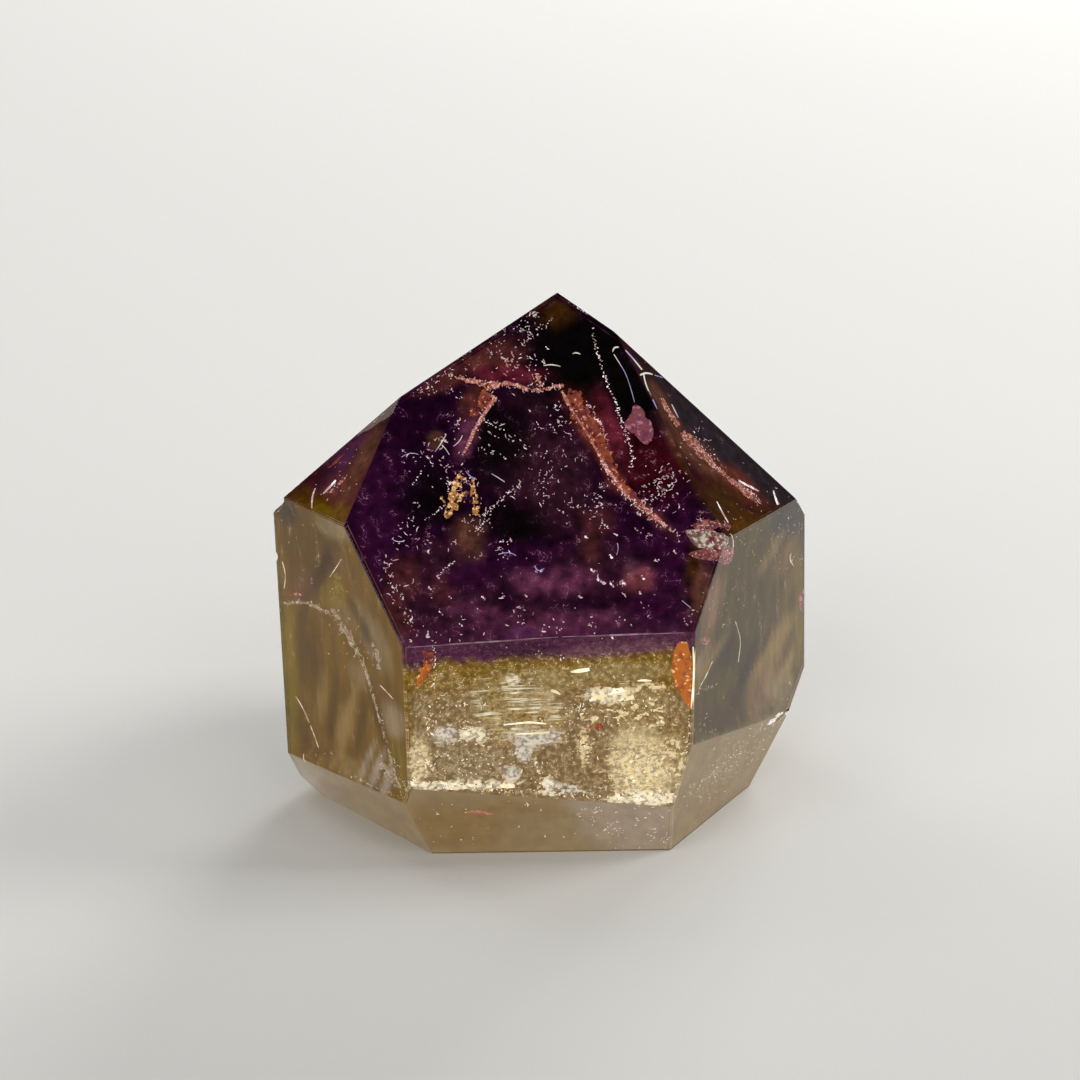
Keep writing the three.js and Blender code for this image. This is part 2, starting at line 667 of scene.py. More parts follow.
@dataclass(frozen=True)
class Pane:
    """A polished face taken as an endless flat pane, so that what lies behind it is never torn."""

    eye: Eye
    point: Vector
    normal: Vector
    corners: tuple[Vector, ...]
    stone: tuple[Cut, ...]

    def behind(self, spot: Spot, depth_mm: float) -> Vector:
        """Returns the point that is seen at a spot, so far behind the pane.

        Args:
            spot: The spot of the frame, in frame pixels.
            depth_mm: How far behind the pane, along its normal.
        """
        ahead = self.eye.ray(spot)
        cosine = -ahead.dot(self.normal)
        reach = (self.eye.place - self.point).dot(self.normal) / cosine
        ratio = 1 / QUARTZ_IOR
        inner = math.sqrt(1 - ratio * ratio * (1 - cosine * cosine))
        bent = ahead * ratio + self.normal * (ratio * cosine - inner)
        return self.eye.place + ahead * reach + bent * (depth_mm * MM / inner)

    def outline(self) -> tuple[Spot, ...]:
        """Returns the face's outline in the frame, as a convex ring."""
        seen = [Vector(self.eye.spot(corner)) for corner in self.corners]
        return tuple((seen[index].x, seen[index].y) for index in geometry.convex_hull_2d(seen))

    def inside(self, point: Vector) -> Vector:
        """Returns a point pulled back into the stone, if it lies outside."""
        for wall in self.stone:
            out = (point - wall.point).dot(wall.normal)
            if out > 0:
                point = point - wall.normal * out
        return point

    def axes(self) -> Matrix:
        """Returns the turn that lays a flat shape along the pane."""
        right = Vector((0, 0, 1)).cross(self.normal).normalized()
        return Matrix((right, self.normal.cross(right), self.normal)).transposed()

    def trim(self, shape: bmesh.types.BMesh) -> None:
        """Cuts away whatever of a shape would come out of the stone."""
        for wall in self.stone:
            parts = [*shape.verts, *shape.edges, *shape.faces]
            bmesh.ops.bisect_plane(
                shape, geom=parts, dist=1e-7, plane_co=wall.point, plane_no=wall.normal, clear_outer=True
            )


class Sight:
    """Looks into the crystal through its polished faces, as light is bent there."""

    SKIN_MM = 0.12
    APART_M = 0.3
    LEAST_FACE = 12e-6
    SAME = 0.9999

    def __init__(self, eye: Eye, stone: bmesh.types.BMesh) -> None:
        """Keeps the eye and the stone's flats.

        Args:
            eye: The viewer.
            stone: The crystal's outer shape, in whole flats.
        """
        self.eye = eye
        self.stone = stone
        self.flats = [face for face in stone.faces if face.calc_area() > self.LEAST_FACE]
        self.walls = tuple(
            Cut(face.calc_center_median() - face.normal * self.SKIN_MM * MM, face.normal.copy())
            for face in self.flats
        )

    def pane(self, which: Face) -> Pane:
        """Returns the pane of a face, seen by the viewer or, if it is hidden, squarely from outside."""
        flats = [flat for flat in self.flats if flat.normal.dot(which.outward()) > self.SAME]
        widest = max(flats, key=lambda flat: flat.calc_area())
        middle = widest.calc_center_median()
        normal = widest.normal.copy()
        eye = self.eye
        if normal.dot(eye.place - middle) < 0:
            eye = Eye(place=middle + normal * self.APART_M, aim=middle, roll=0.0)
        corners = tuple(vert.co.copy() for flat in flats for vert in flat.verts)
        return Pane(eye, middle, normal, corners, self.walls)


# ---------------------------------------------------------------- making pieces


def add_piece(name: str, shape: bmesh.types.BMesh, material: bpy.types.Material) -> bpy.types.Object:
    """Turns a shape into a piece that rides with the crystal.

    Args:
        name: The piece's name.
        shape: Its shape, which is used up.
        material: Its finish.

    Returns:
        The piece.
    """
    mesh = bpy.data.meshes.new(name)
    shape.to_mesh(mesh)
    faces = len(shape.faces)
    shape.free()
    mesh.materials.append(material)
    piece = bpy.data.objects.new(name, mesh)
    bpy.context.scene.collection.objects.link(piece)
    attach(piece, BODY)
    LOG.info("%s: %d faces", name, faces)
    return piece


# ---------------------------------------------------------------- the crystal


@dataclass
class Crystal:
    """The polished outside of the stone."""

    edge_mm: float = 0.14
    shortest_edge_mm: float = 1.5
    flat_degrees: float = 1.0

    def sharp(self) -> bmesh.types.BMesh:
        """Returns the stone's faces as the wheel leaves them, merged into whole flats."""
        shape = bmesh.new()
        shape.from_mesh(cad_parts[NODE].data)
        bmesh.ops.remove_doubles(shape, verts=shape.verts, dist=1e-6)
        bmesh.ops.dissolve_limit(
            shape, angle_limit=math.radians(self.flat_degrees), verts=shape.verts, edges=shape.edges
        )
        return shape

    def polished(self) -> bmesh.types.BMesh:
        """Returns the stone with its long edges softened by polishing."""
        shape = self.sharp()
        long_edges = [
            edge
            for edge in shape.edges
            if edge.is_manifold
            and edge.calc_length() > self.shortest_edge_mm * MM
            and edge.calc_face_angle() > math.radians(8)
        ]
        bmesh.ops.bevel(
            shape, geom=long_edges, offset=self.edge_mm * MM, affect="EDGES", segments=2, profile=0.5,
            material=-1, clamp_overlap=True,
        )
        bmesh.ops.triangulate(shape, faces=shape.faces)
        return shape

    def build(self, finish: ClearFinish) -> bpy.types.Object:
        """Makes the crystal's outside.

        Args:
            finish: The clear crystal's finish.

        Returns:
            The piece.
        """
        piece = add_piece("crystal", self.polished(), finish.material())
        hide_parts(NODE)
        return piece


# ---------------------------------------------------------------- what grew inside


def patchy(place: Sequence[float], seed: float, size: float, octaves: int = 4) -> float:
    """Returns smooth noise between about -1 and 1.

    Args:
        place: Where, in any unit.
        seed: Picks another pattern.
        size: The size of a lump, in the same unit.
        octaves: The number of finer layers.
    """
    spot = Vector((place[0] / size, place[1] / size, seed))
    return noise.fractal(spot, 1.0, 2.0, octaves)


def ease(low: float, high: float, value: float) -> float:
    """Returns 0 at low, 1 at high and a smooth rise between them."""
    part = min(1.0, max(0.0, (value - low) / (high - low)))
    return part * part * (3 - 2 * part)


def within(spot: Spot, outline: Sequence[Spot]) -> float:
    """Returns how far a spot lies inside a convex outline, in pixels, and less than 0 outside it."""
    middle = [sum(corner[axis] for corner in outline) / len(outline) for axis in (0, 1)]
    gaps = []
    for (ax, ay), (bx, by) in zip(outline, [*outline[1:], outline[0]]):
        long = math.hypot(bx - ax, by - ay)
        if long < 1e-6:
            continue
        gap = ((bx - ax) * (spot[1] - ay) - (by - ay) * (spot[0] - ax)) / long
        side = (bx - ax) * (middle[1] - ay) - (by - ay) * (middle[0] - ax)
        gaps.append(gap if side > 0 else -gap)
    return min(gaps)


@dataclass(frozen=True)
class Stain:
    """A soft-edged patch of colour in a veil."""

    spot: Spot
    reach: tuple[float, float]
    hue: Hue
    strength: float = 1.0
    turn: float = 0.0
    cover: float | None = None
    blur: float = 0.55

    def weight(self, spot: Spot, wobble: float) -> float:
        """Returns how strongly the patch colours a spot.

        Args:
            spot: The spot, in frame pixels.
            wobble: Noise that roughens the patch's edge.
        """
        angle = math.radians(self.turn)
        right, down = spot[0] - self.spot[0], spot[1] - self.spot[1]
        along = (right * math.cos(angle) + down * math.sin(angle)) / self.reach[0]
        across = (down * math.cos(angle) - right * math.sin(angle)) / self.reach[1]
        gap = math.hypot(along, across) + 0.3 * wobble
        return self.strength * (1 - ease(1 - self.blur, 1 + self.blur, gap))


def patches(*rows: tuple[float | Hue | None, ...]) -> tuple[Stain, ...]:
    """Returns the stains of a table.

    Args:
        rows: For each stain its place, its half width and height and its hue, then any of its other values.
    """
    return tuple(Stain(row[:2], row[2:4], *row[4:]) for row in rows)


@dataclass(frozen=True)
class Wash:
    """A colour that fills a veil on the left of a line, looking from its start to its end."""

    start: Spot
    end: Spot
    hue: Hue
    soft: float = 8.0
    strength: float = 1.0
    cover: float | None = None
    wander: float = 6.0

    def weight(self, spot: Spot, wobble: float) -> float:
        """Returns how strongly the wash colours a spot.

        Args:
            spot: The spot, in frame pixels.
            wobble: Noise that roughens the wash's edge.
        """
        right, down = self.end[0] - self.start[0], self.end[1] - self.start[1]
        gap = (right * (spot[1] - self.start[1]) - down * (spot[0] - self.start[0])) / math.hypot(right, down)
        return self.strength * ease(-self.soft, self.soft, -gap + self.wander * wobble)


@dataclass(frozen=True)
class Veil:
    """A thin sheet that follows a polished face from the inside, coloured by soft stains."""

    name: str
    ground: Hue
    finish: object
    stains: tuple[Stain | Wash, ...] = ()
    outline: tuple[Spot, ...] = ()
    cover: float = 1.0
    rim_mm: float = 0.4
    deep_mm: float = 1.6
    rise: float = 45.0
    crumple_mm: float = 0.25
    lump: float = 30.0
    cell: float = 3.5
    wobble: float = 26.0
    seed: float = 1.0
    least: float = 0.0

    def paint(self, spot: Spot) -> tuple[Vector, float]:
        """Returns the colour and the cover of the veil at a spot."""
        colour = Vector(self.ground.value)
        cover = self.cover
        wobble = patchy(spot, self.seed + 11.0, self.wobble, 4)
        for stain in self.stains:
            weight = stain.weight(spot, wobble)
            colour = colour.lerp(Vector(stain.hue.value), weight)
            if stain.cover is not None:
                cover += (stain.cover - cover) * weight
        return colour, cover

    def sheet(self, outline: Sequence[Spot]) -> bmesh.types.BMesh:
        """Returns the flat sheet in the frame, cut to an outline.

        Args:
            outline: A convex ring, in frame pixels.
        """
        low = [min(corner[axis] for corner in outline) for axis in (0, 1)]
        high = [max(corner[axis] for corner in outline) for axis in (0, 1)]
        size = [high[axis] - low[axis] for axis in (0, 1)]
        counts = [max(2, round(side / self.cell)) for side in size]
        shape = bmesh.new()
        bmesh.ops.create_grid(shape, x_segments=counts[0], y_segments=counts[1], size=0.5)
        spread = Matrix.Diagonal((*size, 1.0, 1.0))
        centre = Matrix.Translation(((low[0] + high[0]) / 2, (low[1] + high[1]) / 2, 0))
        bmesh.ops.transform(shape, matrix=centre @ spread, verts=shape.verts)
        middle = Vector((sum(c[0] for c in outline), sum(c[1] for c in outline), 0)) / len(outline)
        for (ax, ay), (bx, by) in zip(outline, [*outline[1:], outline[0]]):
            if math.hypot(bx - ax, by - ay) < 0.5:
                continue
            normal = Vector((by - ay, ax - bx, 0))
            if normal.dot(middle - Vector((ax, ay, 0))) > 0:
                normal.negate()
            parts = [*shape.verts, *shape.edges, *shape.faces]
            bmesh.ops.bisect_plane(
                shape, geom=parts, dist=1e-4, plane_co=(ax, ay, 0), plane_no=normal, clear_outer=True
            )
        return shape

    def build(self, pane: Pane) -> bpy.types.Object:
        """Makes the veil behind a face.

        Args:
            pane: The face.

        Returns:
            The piece.
        """
        outline = self.outline or pane.outline()
        shape = self.sheet(outline)
        tint = shape.verts.layers.float_color.new("tint")
        cover = shape.verts.layers.float.new("cover")
        for vert in shape.verts:
            spot = (vert.co.x, vert.co.y)
            colour, vert[cover] = self.paint(spot)
            vert[tint] = (*colour, 1.0)
            swell = ease(0.0, self.rise, within(spot, outline))
            fold = patchy(spot, self.seed, self.lump, 4) * self.crumple_mm
            depth = self.rim_mm + (self.deep_mm - self.rim_mm + fold) * swell
            vert.co = pane.behind(spot, depth)
        bare = [face for face in shape.faces if max(vert[cover] for vert in face.verts) < self.least]
        bmesh.ops.delete(shape, geom=bare, context="FACES")
        pane.trim(shape)
        bmesh.ops.recalc_face_normals(shape, faces=shape.faces)
        bmesh.ops.solidify(shape, geom=shape.faces, thickness=0.04 * MM)
        return add_piece(self.name, shape, self.finish.material())


@dataclass(frozen=True)
class Vein:
    """A thin, crumpled, ragged film that runs along a line behind a polished face.

    Each step of the path is a spot and the film's width there, all in frame pixels.
    """

    path: tuple[tuple[float, float, float], ...]
    depth_mm: tuple[float, float] = (0.9, 1.2)
    crumple_mm: float = 0.3
    lump: float = 12.0
    ragged: float = 0.5
    holes: float = -2.0
    cell: float = 1.3
    seed: float = 1.0
    thick_mm: float = 0.05

    def length(self) -> float:
        """Returns the length of the line, in frame pixels."""
        return sum(math.dist(a[:2], b[:2]) for a, b in zip(self.path, self.path[1:]))

    def along(self, part: float) -> tuple[Vector, Vector, float]:
        """Returns the point at a part of the line, the direction across it and the width."""
        left = min(1.0, max(0.0, part)) * self.length()
        for first, second in zip(self.path, self.path[1:]):
            step = math.dist(first[:2], second[:2])
            if left <= step + 1e-6:
                break
            left -= step
        ahead = Vector((second[0] - first[0], second[1] - first[1])) / step
        width = first[2] + (second[2] - first[2]) * left / step
        return Vector(first[:2]) + ahead * left, Vector((-ahead.y, ahead.x)), width

    def spot(self, part: float, side: float) -> Spot:
        """Returns the spot of the frame at a part of the line and a side from -0.5 to 0.5."""
        blend = 5.0 / max(20.0, self.length())
        steps = [self.along(part + blend * step) for step in (-1, 0, 1)]
        middle = sum((step[0] for step in steps), Vector((0, 0))) / 3
        across = sum((step[1] for step in steps), Vector((0, 0))).normalized()
        spread = middle + across * side * steps[1][2]
        return spread.x, spread.y

    def keeps(self, part: float, side: float) -> bool:
        """Returns whether the film is whole at a place on it."""
        spot = self.spot(part, side)
        edge = 1 - max(abs(side) * 2, abs(part * 2 - 1) ** 8)
        wear = 0.5 + 0.6 * patchy(spot, self.seed, self.lump * 0.5)
        return edge >= self.ragged * wear and patchy(spot, self.seed + 7.3, self.lump * 0.4, 4) > self.holes

    def add(self, shape: bmesh.types.BMesh, pane: Pane) -> None:
        """Adds the film to a shape.

        Args:
            shape: The shape.
            pane: The face that the film lies behind.
        """
        film = bmesh.new()
        rows = max(4, round(self.length() / self.cell))
        columns = max(2, round(max(step[2] for step in self.path) / self.cell))
        bmesh.ops.create_grid(film, x_segments=rows, y_segments=columns, size=0.5)
        centres = [(face, face.calc_center_median()) for face in film.faces]
        gone = [face for face, middle in centres if not self.keeps(middle.x + 0.5, middle.y)]
        bmesh.ops.delete(film, geom=gone, context="FACES")
        for vert in film.verts:
            part = vert.co.x + 0.5
            spot = self.spot(part, vert.co.y)
            depth = self.depth_mm[0] + (self.depth_mm[1] - self.depth_mm[0]) * part
            fold = patchy(spot, self.seed + 3.1, self.lump, 4)
            vert.co = pane.behind(spot, max(0.2, depth + self.crumple_mm * fold))
        pane.trim(film)
        bmesh.ops.solidify(film, geom=film.faces, thickness=self.thick_mm * MM)
        join(shape, film)


@dataclass(frozen=True)
class Beads:
    """A chain or a cluster of tiny bright lumps behind a polished face."""

    path: tuple[Spot, ...]
    count: int
    size_mm: tuple[float, float] = (0.12, 0.34)
    spread: float = 4.0
    depth_mm: tuple[float, float] = (0.5, 1.0)
    seed: int = 1

    def add(self, shape: bmesh.types.BMesh, pane: Pane) -> None:
        """Adds the lumps to a shape.

        Args:
            shape: The shape.
            pane: The face that they lie behind.
        """
        dice = random.Random(self.seed)
        line = Vein(tuple((x, y, 1.0) for x, y in self.path))
        for step in range(self.count):
            middle, _, _ = line.along((step + dice.random()) / self.count)
            spot = (middle.x + dice.gauss(0, self.spread), middle.y + dice.gauss(0, self.spread))
            turn = Quaternion([dice.gauss(0, 1) for _ in range(3)], dice.uniform(0, math.tau))
            size = dice.uniform(*self.size_mm) * MM
            squash = Matrix.Diagonal(
                (size, size * dice.uniform(0.4, 0.9), size * dice.uniform(0.25, 0.6), 1.0)
            )
            place = Matrix.Translation(pane.inside(pane.behind(spot, dice.uniform(*self.depth_mm))))
            bmesh.ops.create_icosphere(
                shape, subdivisions=1, radius=0.5, matrix=place @ turn.to_matrix().to_4x4() @ squash
            )


@dataclass(frozen=True)
class Flecks:
    """Tiny bent flakes behind a polished face, in swarms and along trails.

    A swarm is its middle, its reach in frame pixels and its count. A trail is a count, how far
    its flakes stray, and its path.
    """

    swarms: tuple[tuple[float, float, float, int], ...] = ()
    trails: tuple[tuple[int, float, tuple[Spot, ...]], ...] = ()
    long_mm: tuple[float, float] = (0.14, 0.75)
    wide_mm: tuple[float, float] = (0.045, 0.12)
    depth_mm: tuple[float, float] = (0.25, 1.0)
    curl: float = 3.6
    tip: float = 0.5
    seed: int = 1

    def flake(self, shape: bmesh.types.BMesh, centre: Vector, pane: Pane, dice: random.Random) -> None:
        """Adds one flake.

        Args:
            shape: The shape that it joins.
            centre: Its middle.
            pane: The face that it lies behind.
            dice: The source of chance.
        """
        long = (self.long_mm[0] + (self.long_mm[1] - self.long_mm[0]) * dice.random() ** 2.5) * MM
        wide = dice.uniform(*self.wide_mm) * MM
        sweep = 0.1 + self.curl * dice.random() ** 1.5
        radius = long / sweep
        lean = Quaternion((1, 0, 0), dice.gauss(0, self.tip)) @ Quaternion((0, 1, 0), dice.gauss(0, self.tip))
        turn = pane.axes().to_quaternion() @ lean @ Quaternion((0, 0, 1), dice.uniform(0, math.tau))
        made = bmesh.ops.create_grid(shape, x_segments=4, y_segments=1, size=0.5)["verts"]
        for vert in made:
            angle = vert.co.x * sweep
            reach = radius + vert.co.y * wide * (1 - 1.2 * abs(vert.co.x))
            bend = Vector((math.sin(angle) * reach, math.cos(angle) * reach - radius, 0))
            vert.co = pane.inside(centre + turn @ bend)

    def spots(self, dice: random.Random) -> list[Spot]:
        """Returns where the flakes are seen.

        Args:
            dice: The source of chance.
        """
        found = []
        for x, y, reach, count in self.swarms:
            found += [(x + dice.gauss(0, reach / 2), y + dice.gauss(0, reach / 2)) for _ in range(count)]
        for count, spread, path in self.trails:
            line = Vein(tuple((x, y, 1.0) for x, y in path))
            for step in range(count):
                middle, _, _ = line.along((step + dice.random()) / count)
                found.append((middle.x + dice.gauss(0, spread), middle.y + dice.gauss(0, spread)))
        return found

    def add(self, shape: bmesh.types.BMesh, pane: Pane) -> None:
        """Adds the flakes to a shape.

        Args:
            shape: The shape.
            pane: The face that they lie behind.
        """
        dice = random.Random(self.seed)
        outline = pane.outline()
        flakes = bmesh.new()
        for spot in self.spots(dice):
            inner = within(spot, outline)
            depth = dice.uniform(*self.depth_mm)
            if inner > 2.0:
                self.flake(flakes, pane.behind(spot, min(depth, 0.2 + inner * 0.04)), pane, dice)
        bmesh.ops.solidify(flakes, geom=flakes.faces, thickness=0.02 * MM)
        join(shape, flakes)


@dataclass(frozen=True)
class Lump:
    """A crumpled lens-shaped lump behind a polished face."""

    spot: Spot
    size: tuple[float, float]
    depth_mm: float = 1.0
    thick_mm: float = 0.7
    rough: float = 0.35
    turn: float = 0.0
    detail: int = 4
    seed: float = 1.0

    def add(self, shape: bmesh.types.BMesh, pane: Pane) -> None:
        """Adds the lump to a shape.

        Args:
            shape: The shape.
            pane: The face that it lies behind.
        """
        ball = bmesh.new()
        bmesh.ops.create_icosphere(ball, subdivisions=self.detail, radius=1.0)
        angle = math.radians(self.turn)
        for vert in ball.verts:
            away = vert.co.copy()
            broad = noise.noise(away * 0.9 + Vector((self.seed, 0, 0)))
            crag = noise.fractal(away * 2.6 + Vector((0, self.seed, 0)), 1.0, 2.0, 3)
            grow = 1 + self.rough * (1.6 * broad + 0.5 * crag)
            right = (away.x * math.cos(angle) * self.size[0] - away.y * math.sin(angle) * self.size[1]) * grow
            down = (away.x * math.sin(angle) * self.size[0] + away.y * math.cos(angle) * self.size[1]) * grow
            depth = self.depth_mm + away.z * self.thick_mm / 2 + self.rough * 0.5 * crag
            point = pane.behind((self.spot[0] + right, self.spot[1] + down), max(0.15, depth))
            vert.co = pane.inside(point)
        bmesh.ops.recalc_face_normals(ball, faces=ball.faces)
        join(shape, ball)


def join(shape: bmesh.types.BMesh, other: bmesh.types.BMesh) -> None:
    """Moves one shape into another.

    Args:
        shape: The shape that grows.
        other: The shape that is used up.
    """
    mesh = bpy.data.meshes.new("joined")
    other.to_mesh(mesh)
    other.free()
    shape.from_mesh(mesh)
    bpy.data.meshes.remove(mesh)


def under(face: Face, *parts: Vein | Beads | Flecks | Lump) -> tuple[tuple[Face, object], ...]:
    """Pairs growing parts with the face that they lie under.

    Args:
        face: The face.
        parts: The parts.
    """
    return tuple((face, part) for part in parts)


@dataclass(frozen=True)
class Growth:
    """Veins, lumps and flecks that share a finish and make one piece."""

    name: str
    finish: object
    parts: tuple[tuple[Face, object], ...]

    def build(self, sight: Sight) -> bpy.types.Object:
        """Makes the piece.

        Args:
            sight: The sight into the crystal.

        Returns:
            The piece.
        """
        shape = bmesh.new()
        for face, part in self.parts:
            part.add(shape, sight.pane(face))
        return add_piece(self.name, shape, self.finish.material())


# ---------------------------------------------------------------- the regions of the stone


class Region:
    """A part of the stone: its veils first, then what lies in front of them."""

    def veils(self) -> tuple[tuple[Face, Veil], ...]:
        """Returns the veils, each with its face."""
        raise NotImplementedError

    def growths(self) -> tuple[Growth, ...]:
        """Returns the veins, lumps and flecks."""
        raise NotImplementedError

    def build(self, sight: Sight) -> None:
        """Makes all of it.

        Args:
            sight: The sight into the crystal.
        """
        for face, veil in self.veils():
            veil.build(sight.pane(face))
        for growth in self.growths():
            growth.build(sight)


TIP_STAINS = patches(
    (420, 420, 50, 30, Hue.NIGHT, 0.9), (375, 500, 26, 60, Hue.PLUM, 0.9),
    (545, 470, 46, 46, Hue.MURK, 0.9), (560, 505, 34, 26, Hue.MURK, 0.8), (532, 400, 26, 16, Hue.MURK, 0.7),
    (500, 440, 32, 38, Hue.INK, 0.9, 0, 0.0), (430, 500, 26, 26, Hue.INK, 0.8, 0, 0.0),
    (515, 522, 40, 20, Hue.INK, 0.9, 10, 0.0), (600, 560, 40, 16, Hue.MURK, 0.8),
    (672, 520, 22, 24, Hue.PLUM, 0.9), (655, 462, 38, 34, Hue.DARK_WINE, 1.0, 40),
    (682, 440, 34, 12, Hue.SEPIA, 0.9, 52), (704, 472, 16, 40, Hue.BROWN, 0.9, -22),
    (606, 420, 12, 42, Hue.WINE, 0.95, -24), (581, 410, 12, 34, Hue.RUST, 0.8, -30),
    (606, 458, 8, 34, Hue.RUST, 0.7, -26), (650, 514, 30, 6, Hue.MAROON, 0.8, 38),
    (596, 398, 12, 16, Hue.WINE, 0.9, -20), (574, 350, 60, 52, Hue.INK, 1.0, 0, 0.0),
    (630, 388, 20, 52, Hue.INK, 1.0, -26, 0.0), (470, 365, 22, 10, Hue.DARK_WINE, 1.0, -25),
    (498, 356, 26, 18, Hue.MAROON, 0.8, -15), (452, 375, 34, 10, Hue.MAROON, 0.9, -28),
    (510, 374, 34, 9, Hue.WINE, 0.9), (556, 312, 20, 14, Hue.BROWN, 0.7),
    (475, 402, 12, 18, Hue.MAROON, 1.0, 25), (466, 438, 9, 22, Hue.MAUVE, 0.7, 22),
    (436, 440, 8, 8, Hue.SEPIA, 0.8), (468, 540, 16, 22, Hue.SEPIA, 0.85, 10),
    (600, 520, 16, 14, Hue.MAROON, 0.6), (590, 548, 10, 16, Hue.MAROON, 0.7),
    (520, 582, 26, 11, Hue.MAUVE, 0.95), (566, 580, 30, 12, Hue.MAUVE, 0.75, -6),
    (404, 575, 18, 22, Hue.MAROON, 0.7), (440, 588, 14, 16, Hue.MAROON, 0.5),
    (448, 560, 22, 18, Hue.MURK, 0.8), (482, 612, 34, 12, Hue.MAUVE, 0.5, 10),
    (566, 622, 60, 12, Hue.MAUVE, 0.6, -5), (639, 579, 13, 14, Hue.ROSE, 0.95, 45, None, 0.8),
    (633, 568, 7, 8, Hue.MAUVE_GREY, 0.5, 0, None, 0.9), (470, 575, 26, 12, Hue.PLUM, 0.8),
    (505, 590, 12, 26, Hue.NIGHT, 0.8, -8), (650, 608, 26, 16, Hue.PLUM, 0.9),
    (672, 575, 16, 22, Hue.PLUM, 0.8), (590, 603, 40, 7, Hue.NIGHT, 0.7, -6),
    (523, 632, 17, 6, Hue.BRIGHT_VIOLET, 0.9), (400, 615, 8, 26, Hue.MAROON, 0.6, -25),
    (694, 560, 8, 26, Hue.BROWN, 0.9, 12), (700, 590, 8, 26, Hue.SEPIA, 0.8, 10),
)

TIP_CURLS_SWARMS = (
    (534, 314, 6, 7), (520, 327, 16, 24), (528, 331, 10, 11), (490, 348, 12, 15), (506, 356, 20, 31),
    (459, 365, 10, 11), (432, 386, 12, 15), (424, 391, 8, 7), (451, 389, 5, 4), (458, 397, 14, 6),
    (538, 378, 14, 18), (521, 369, 6, 4), (533, 358, 7, 4), (555, 408, 10, 8), (567, 424, 16, 24),
    (538, 425, 7, 6), (553, 425, 7, 5), (454, 428, 14, 15), (441, 440, 8, 7), (429, 458, 16, 24),
    (408, 457, 12, 7), (446, 466, 10, 8), (495, 425, 10, 6), (511, 437, 8, 7), (525, 447, 12, 11),
    (494, 455, 7, 5), (484, 448, 8, 3), (577, 460, 4, 4), (546, 456, 7, 4), (566, 458, 6, 4),
    (549, 476, 14, 15), (541, 486, 14, 13), (545, 499, 9, 7), (598, 490, 10, 10), (588, 509, 12, 13),
    (566, 510, 11, 13), (596, 502, 12, 10), (665, 472, 16, 18), (669, 481, 8, 7), (656, 490, 22, 36),
    (645, 500, 14, 18), (668, 494, 16, 20), (681, 474, 4, 3), (455, 485, 14, 18), (470, 482, 10, 10),
    (477, 527, 9, 10), (465, 519, 7, 6), (487, 514, 14, 21), (514, 490, 10, 7), (412, 526, 14, 15),
    (427, 544, 12, 10), (398, 541, 9, 6), (417, 505, 6, 4), (498, 546, 6, 6), (509, 540, 7, 6),
    (507, 554, 12, 7), (477, 555, 7, 4), (452, 545, 8, 4), (540, 568, 6, 5), (521, 614, 16, 10),
    (502, 597, 5, 4), (546, 626, 12, 8), (603, 526, 8, 6), (647, 535, 7, 7), (678, 537, 6, 4),
    (657, 559, 4, 4), (593, 622, 8, 6), (620, 618, 10, 4), (645, 605, 8, 3), (560, 625, 7, 5),
    (395, 590, 14, 8), (388, 560, 12, 6), (420, 600, 26, 6), (440, 625, 26, 7), (700, 520, 8, 7),
    (706, 534, 14, 15), (693, 610, 6, 7), (688, 622, 6, 6), (470, 640, 40, 6), (610, 640, 60, 6),
)

TIP_CURLS_TRAILS = (
    (26, 1.2, ((586, 400), (600, 424), (609, 444))), (46, 1.6, ((601, 460), (612, 478), (628, 498))),
    (40, 1.8, ((628, 498), (650, 516), (676, 534))), (34, 1.4, ((522, 482), (500, 500), (480, 520))),
    (60, 1.6, ((414, 393), (446, 373), (488, 382), (530, 391), (562, 386))),
    (26, 1.4, ((497, 392), (480, 420), (463, 456), (461, 476))),
    (14, 1.0, ((592, 570), (604, 583), (624, 584))), (16, 1.6, ((552, 318), (535, 335), (517, 348))),
    (40, 3.0, ((384, 560), (400, 600), (414, 640))), (20, 1.6, ((434, 640), (434, 660), (432, 685))),
)

TIP_BEADS_SPOTS = (
    (600, 423, 0.5), (639, 514, 0.45), (598, 580, 0.3), (604, 583, 0.4), (612, 585, 0.4), (624, 583, 0.35),
    (593, 571, 0.35), (643, 578, 0.3), (640, 593, 0.3), (580, 597, 0.35), (586, 537, 0.35), (611, 556, 0.35),
    (607, 527, 0.3), (616, 535, 0.3), (636, 529, 0.25), (675, 552, 0.3), (438, 577, 0.3), (450, 597, 0.28),
    (429, 588, 0.28), (461, 625, 0.25), (441, 613, 0.2), (445, 441, 0.3), (484, 598, 0.28), (526, 596, 0.3),
    (480, 438, 0.22), (490, 433, 0.22), (489, 445, 0.2), (505, 458, 0.2), (661, 437, 0.28), (670, 446, 0.28),
    (547, 348, 0.2), (531, 358, 0.24), (602, 637, 0.2), (612, 636, 0.25), (543, 362, 0.2),
)

TIP_BEADS_CHAINS = (
    (((592, 326), (597, 352), (604, 374), (611, 392), (618, 408)), 60, 0.8),
    (((618, 408), (622, 424), (628, 440), (633, 456), (629, 470)), 70, 1.6),
    (((437, 576), (446, 568), (455, 560)), 14, 0.5), (((425, 521), (436, 512), (446, 504)), 16, 0.5),
    (((474, 526), (478, 530), (482, 524)), 10, 0.6), (((412, 486), (417, 478), (422, 471)), 9, 0.4),
    (((482, 420), (492, 425), (503, 431)), 14, 0.7), (((694, 531), (706, 532), (720, 537)), 26, 0.7),
)

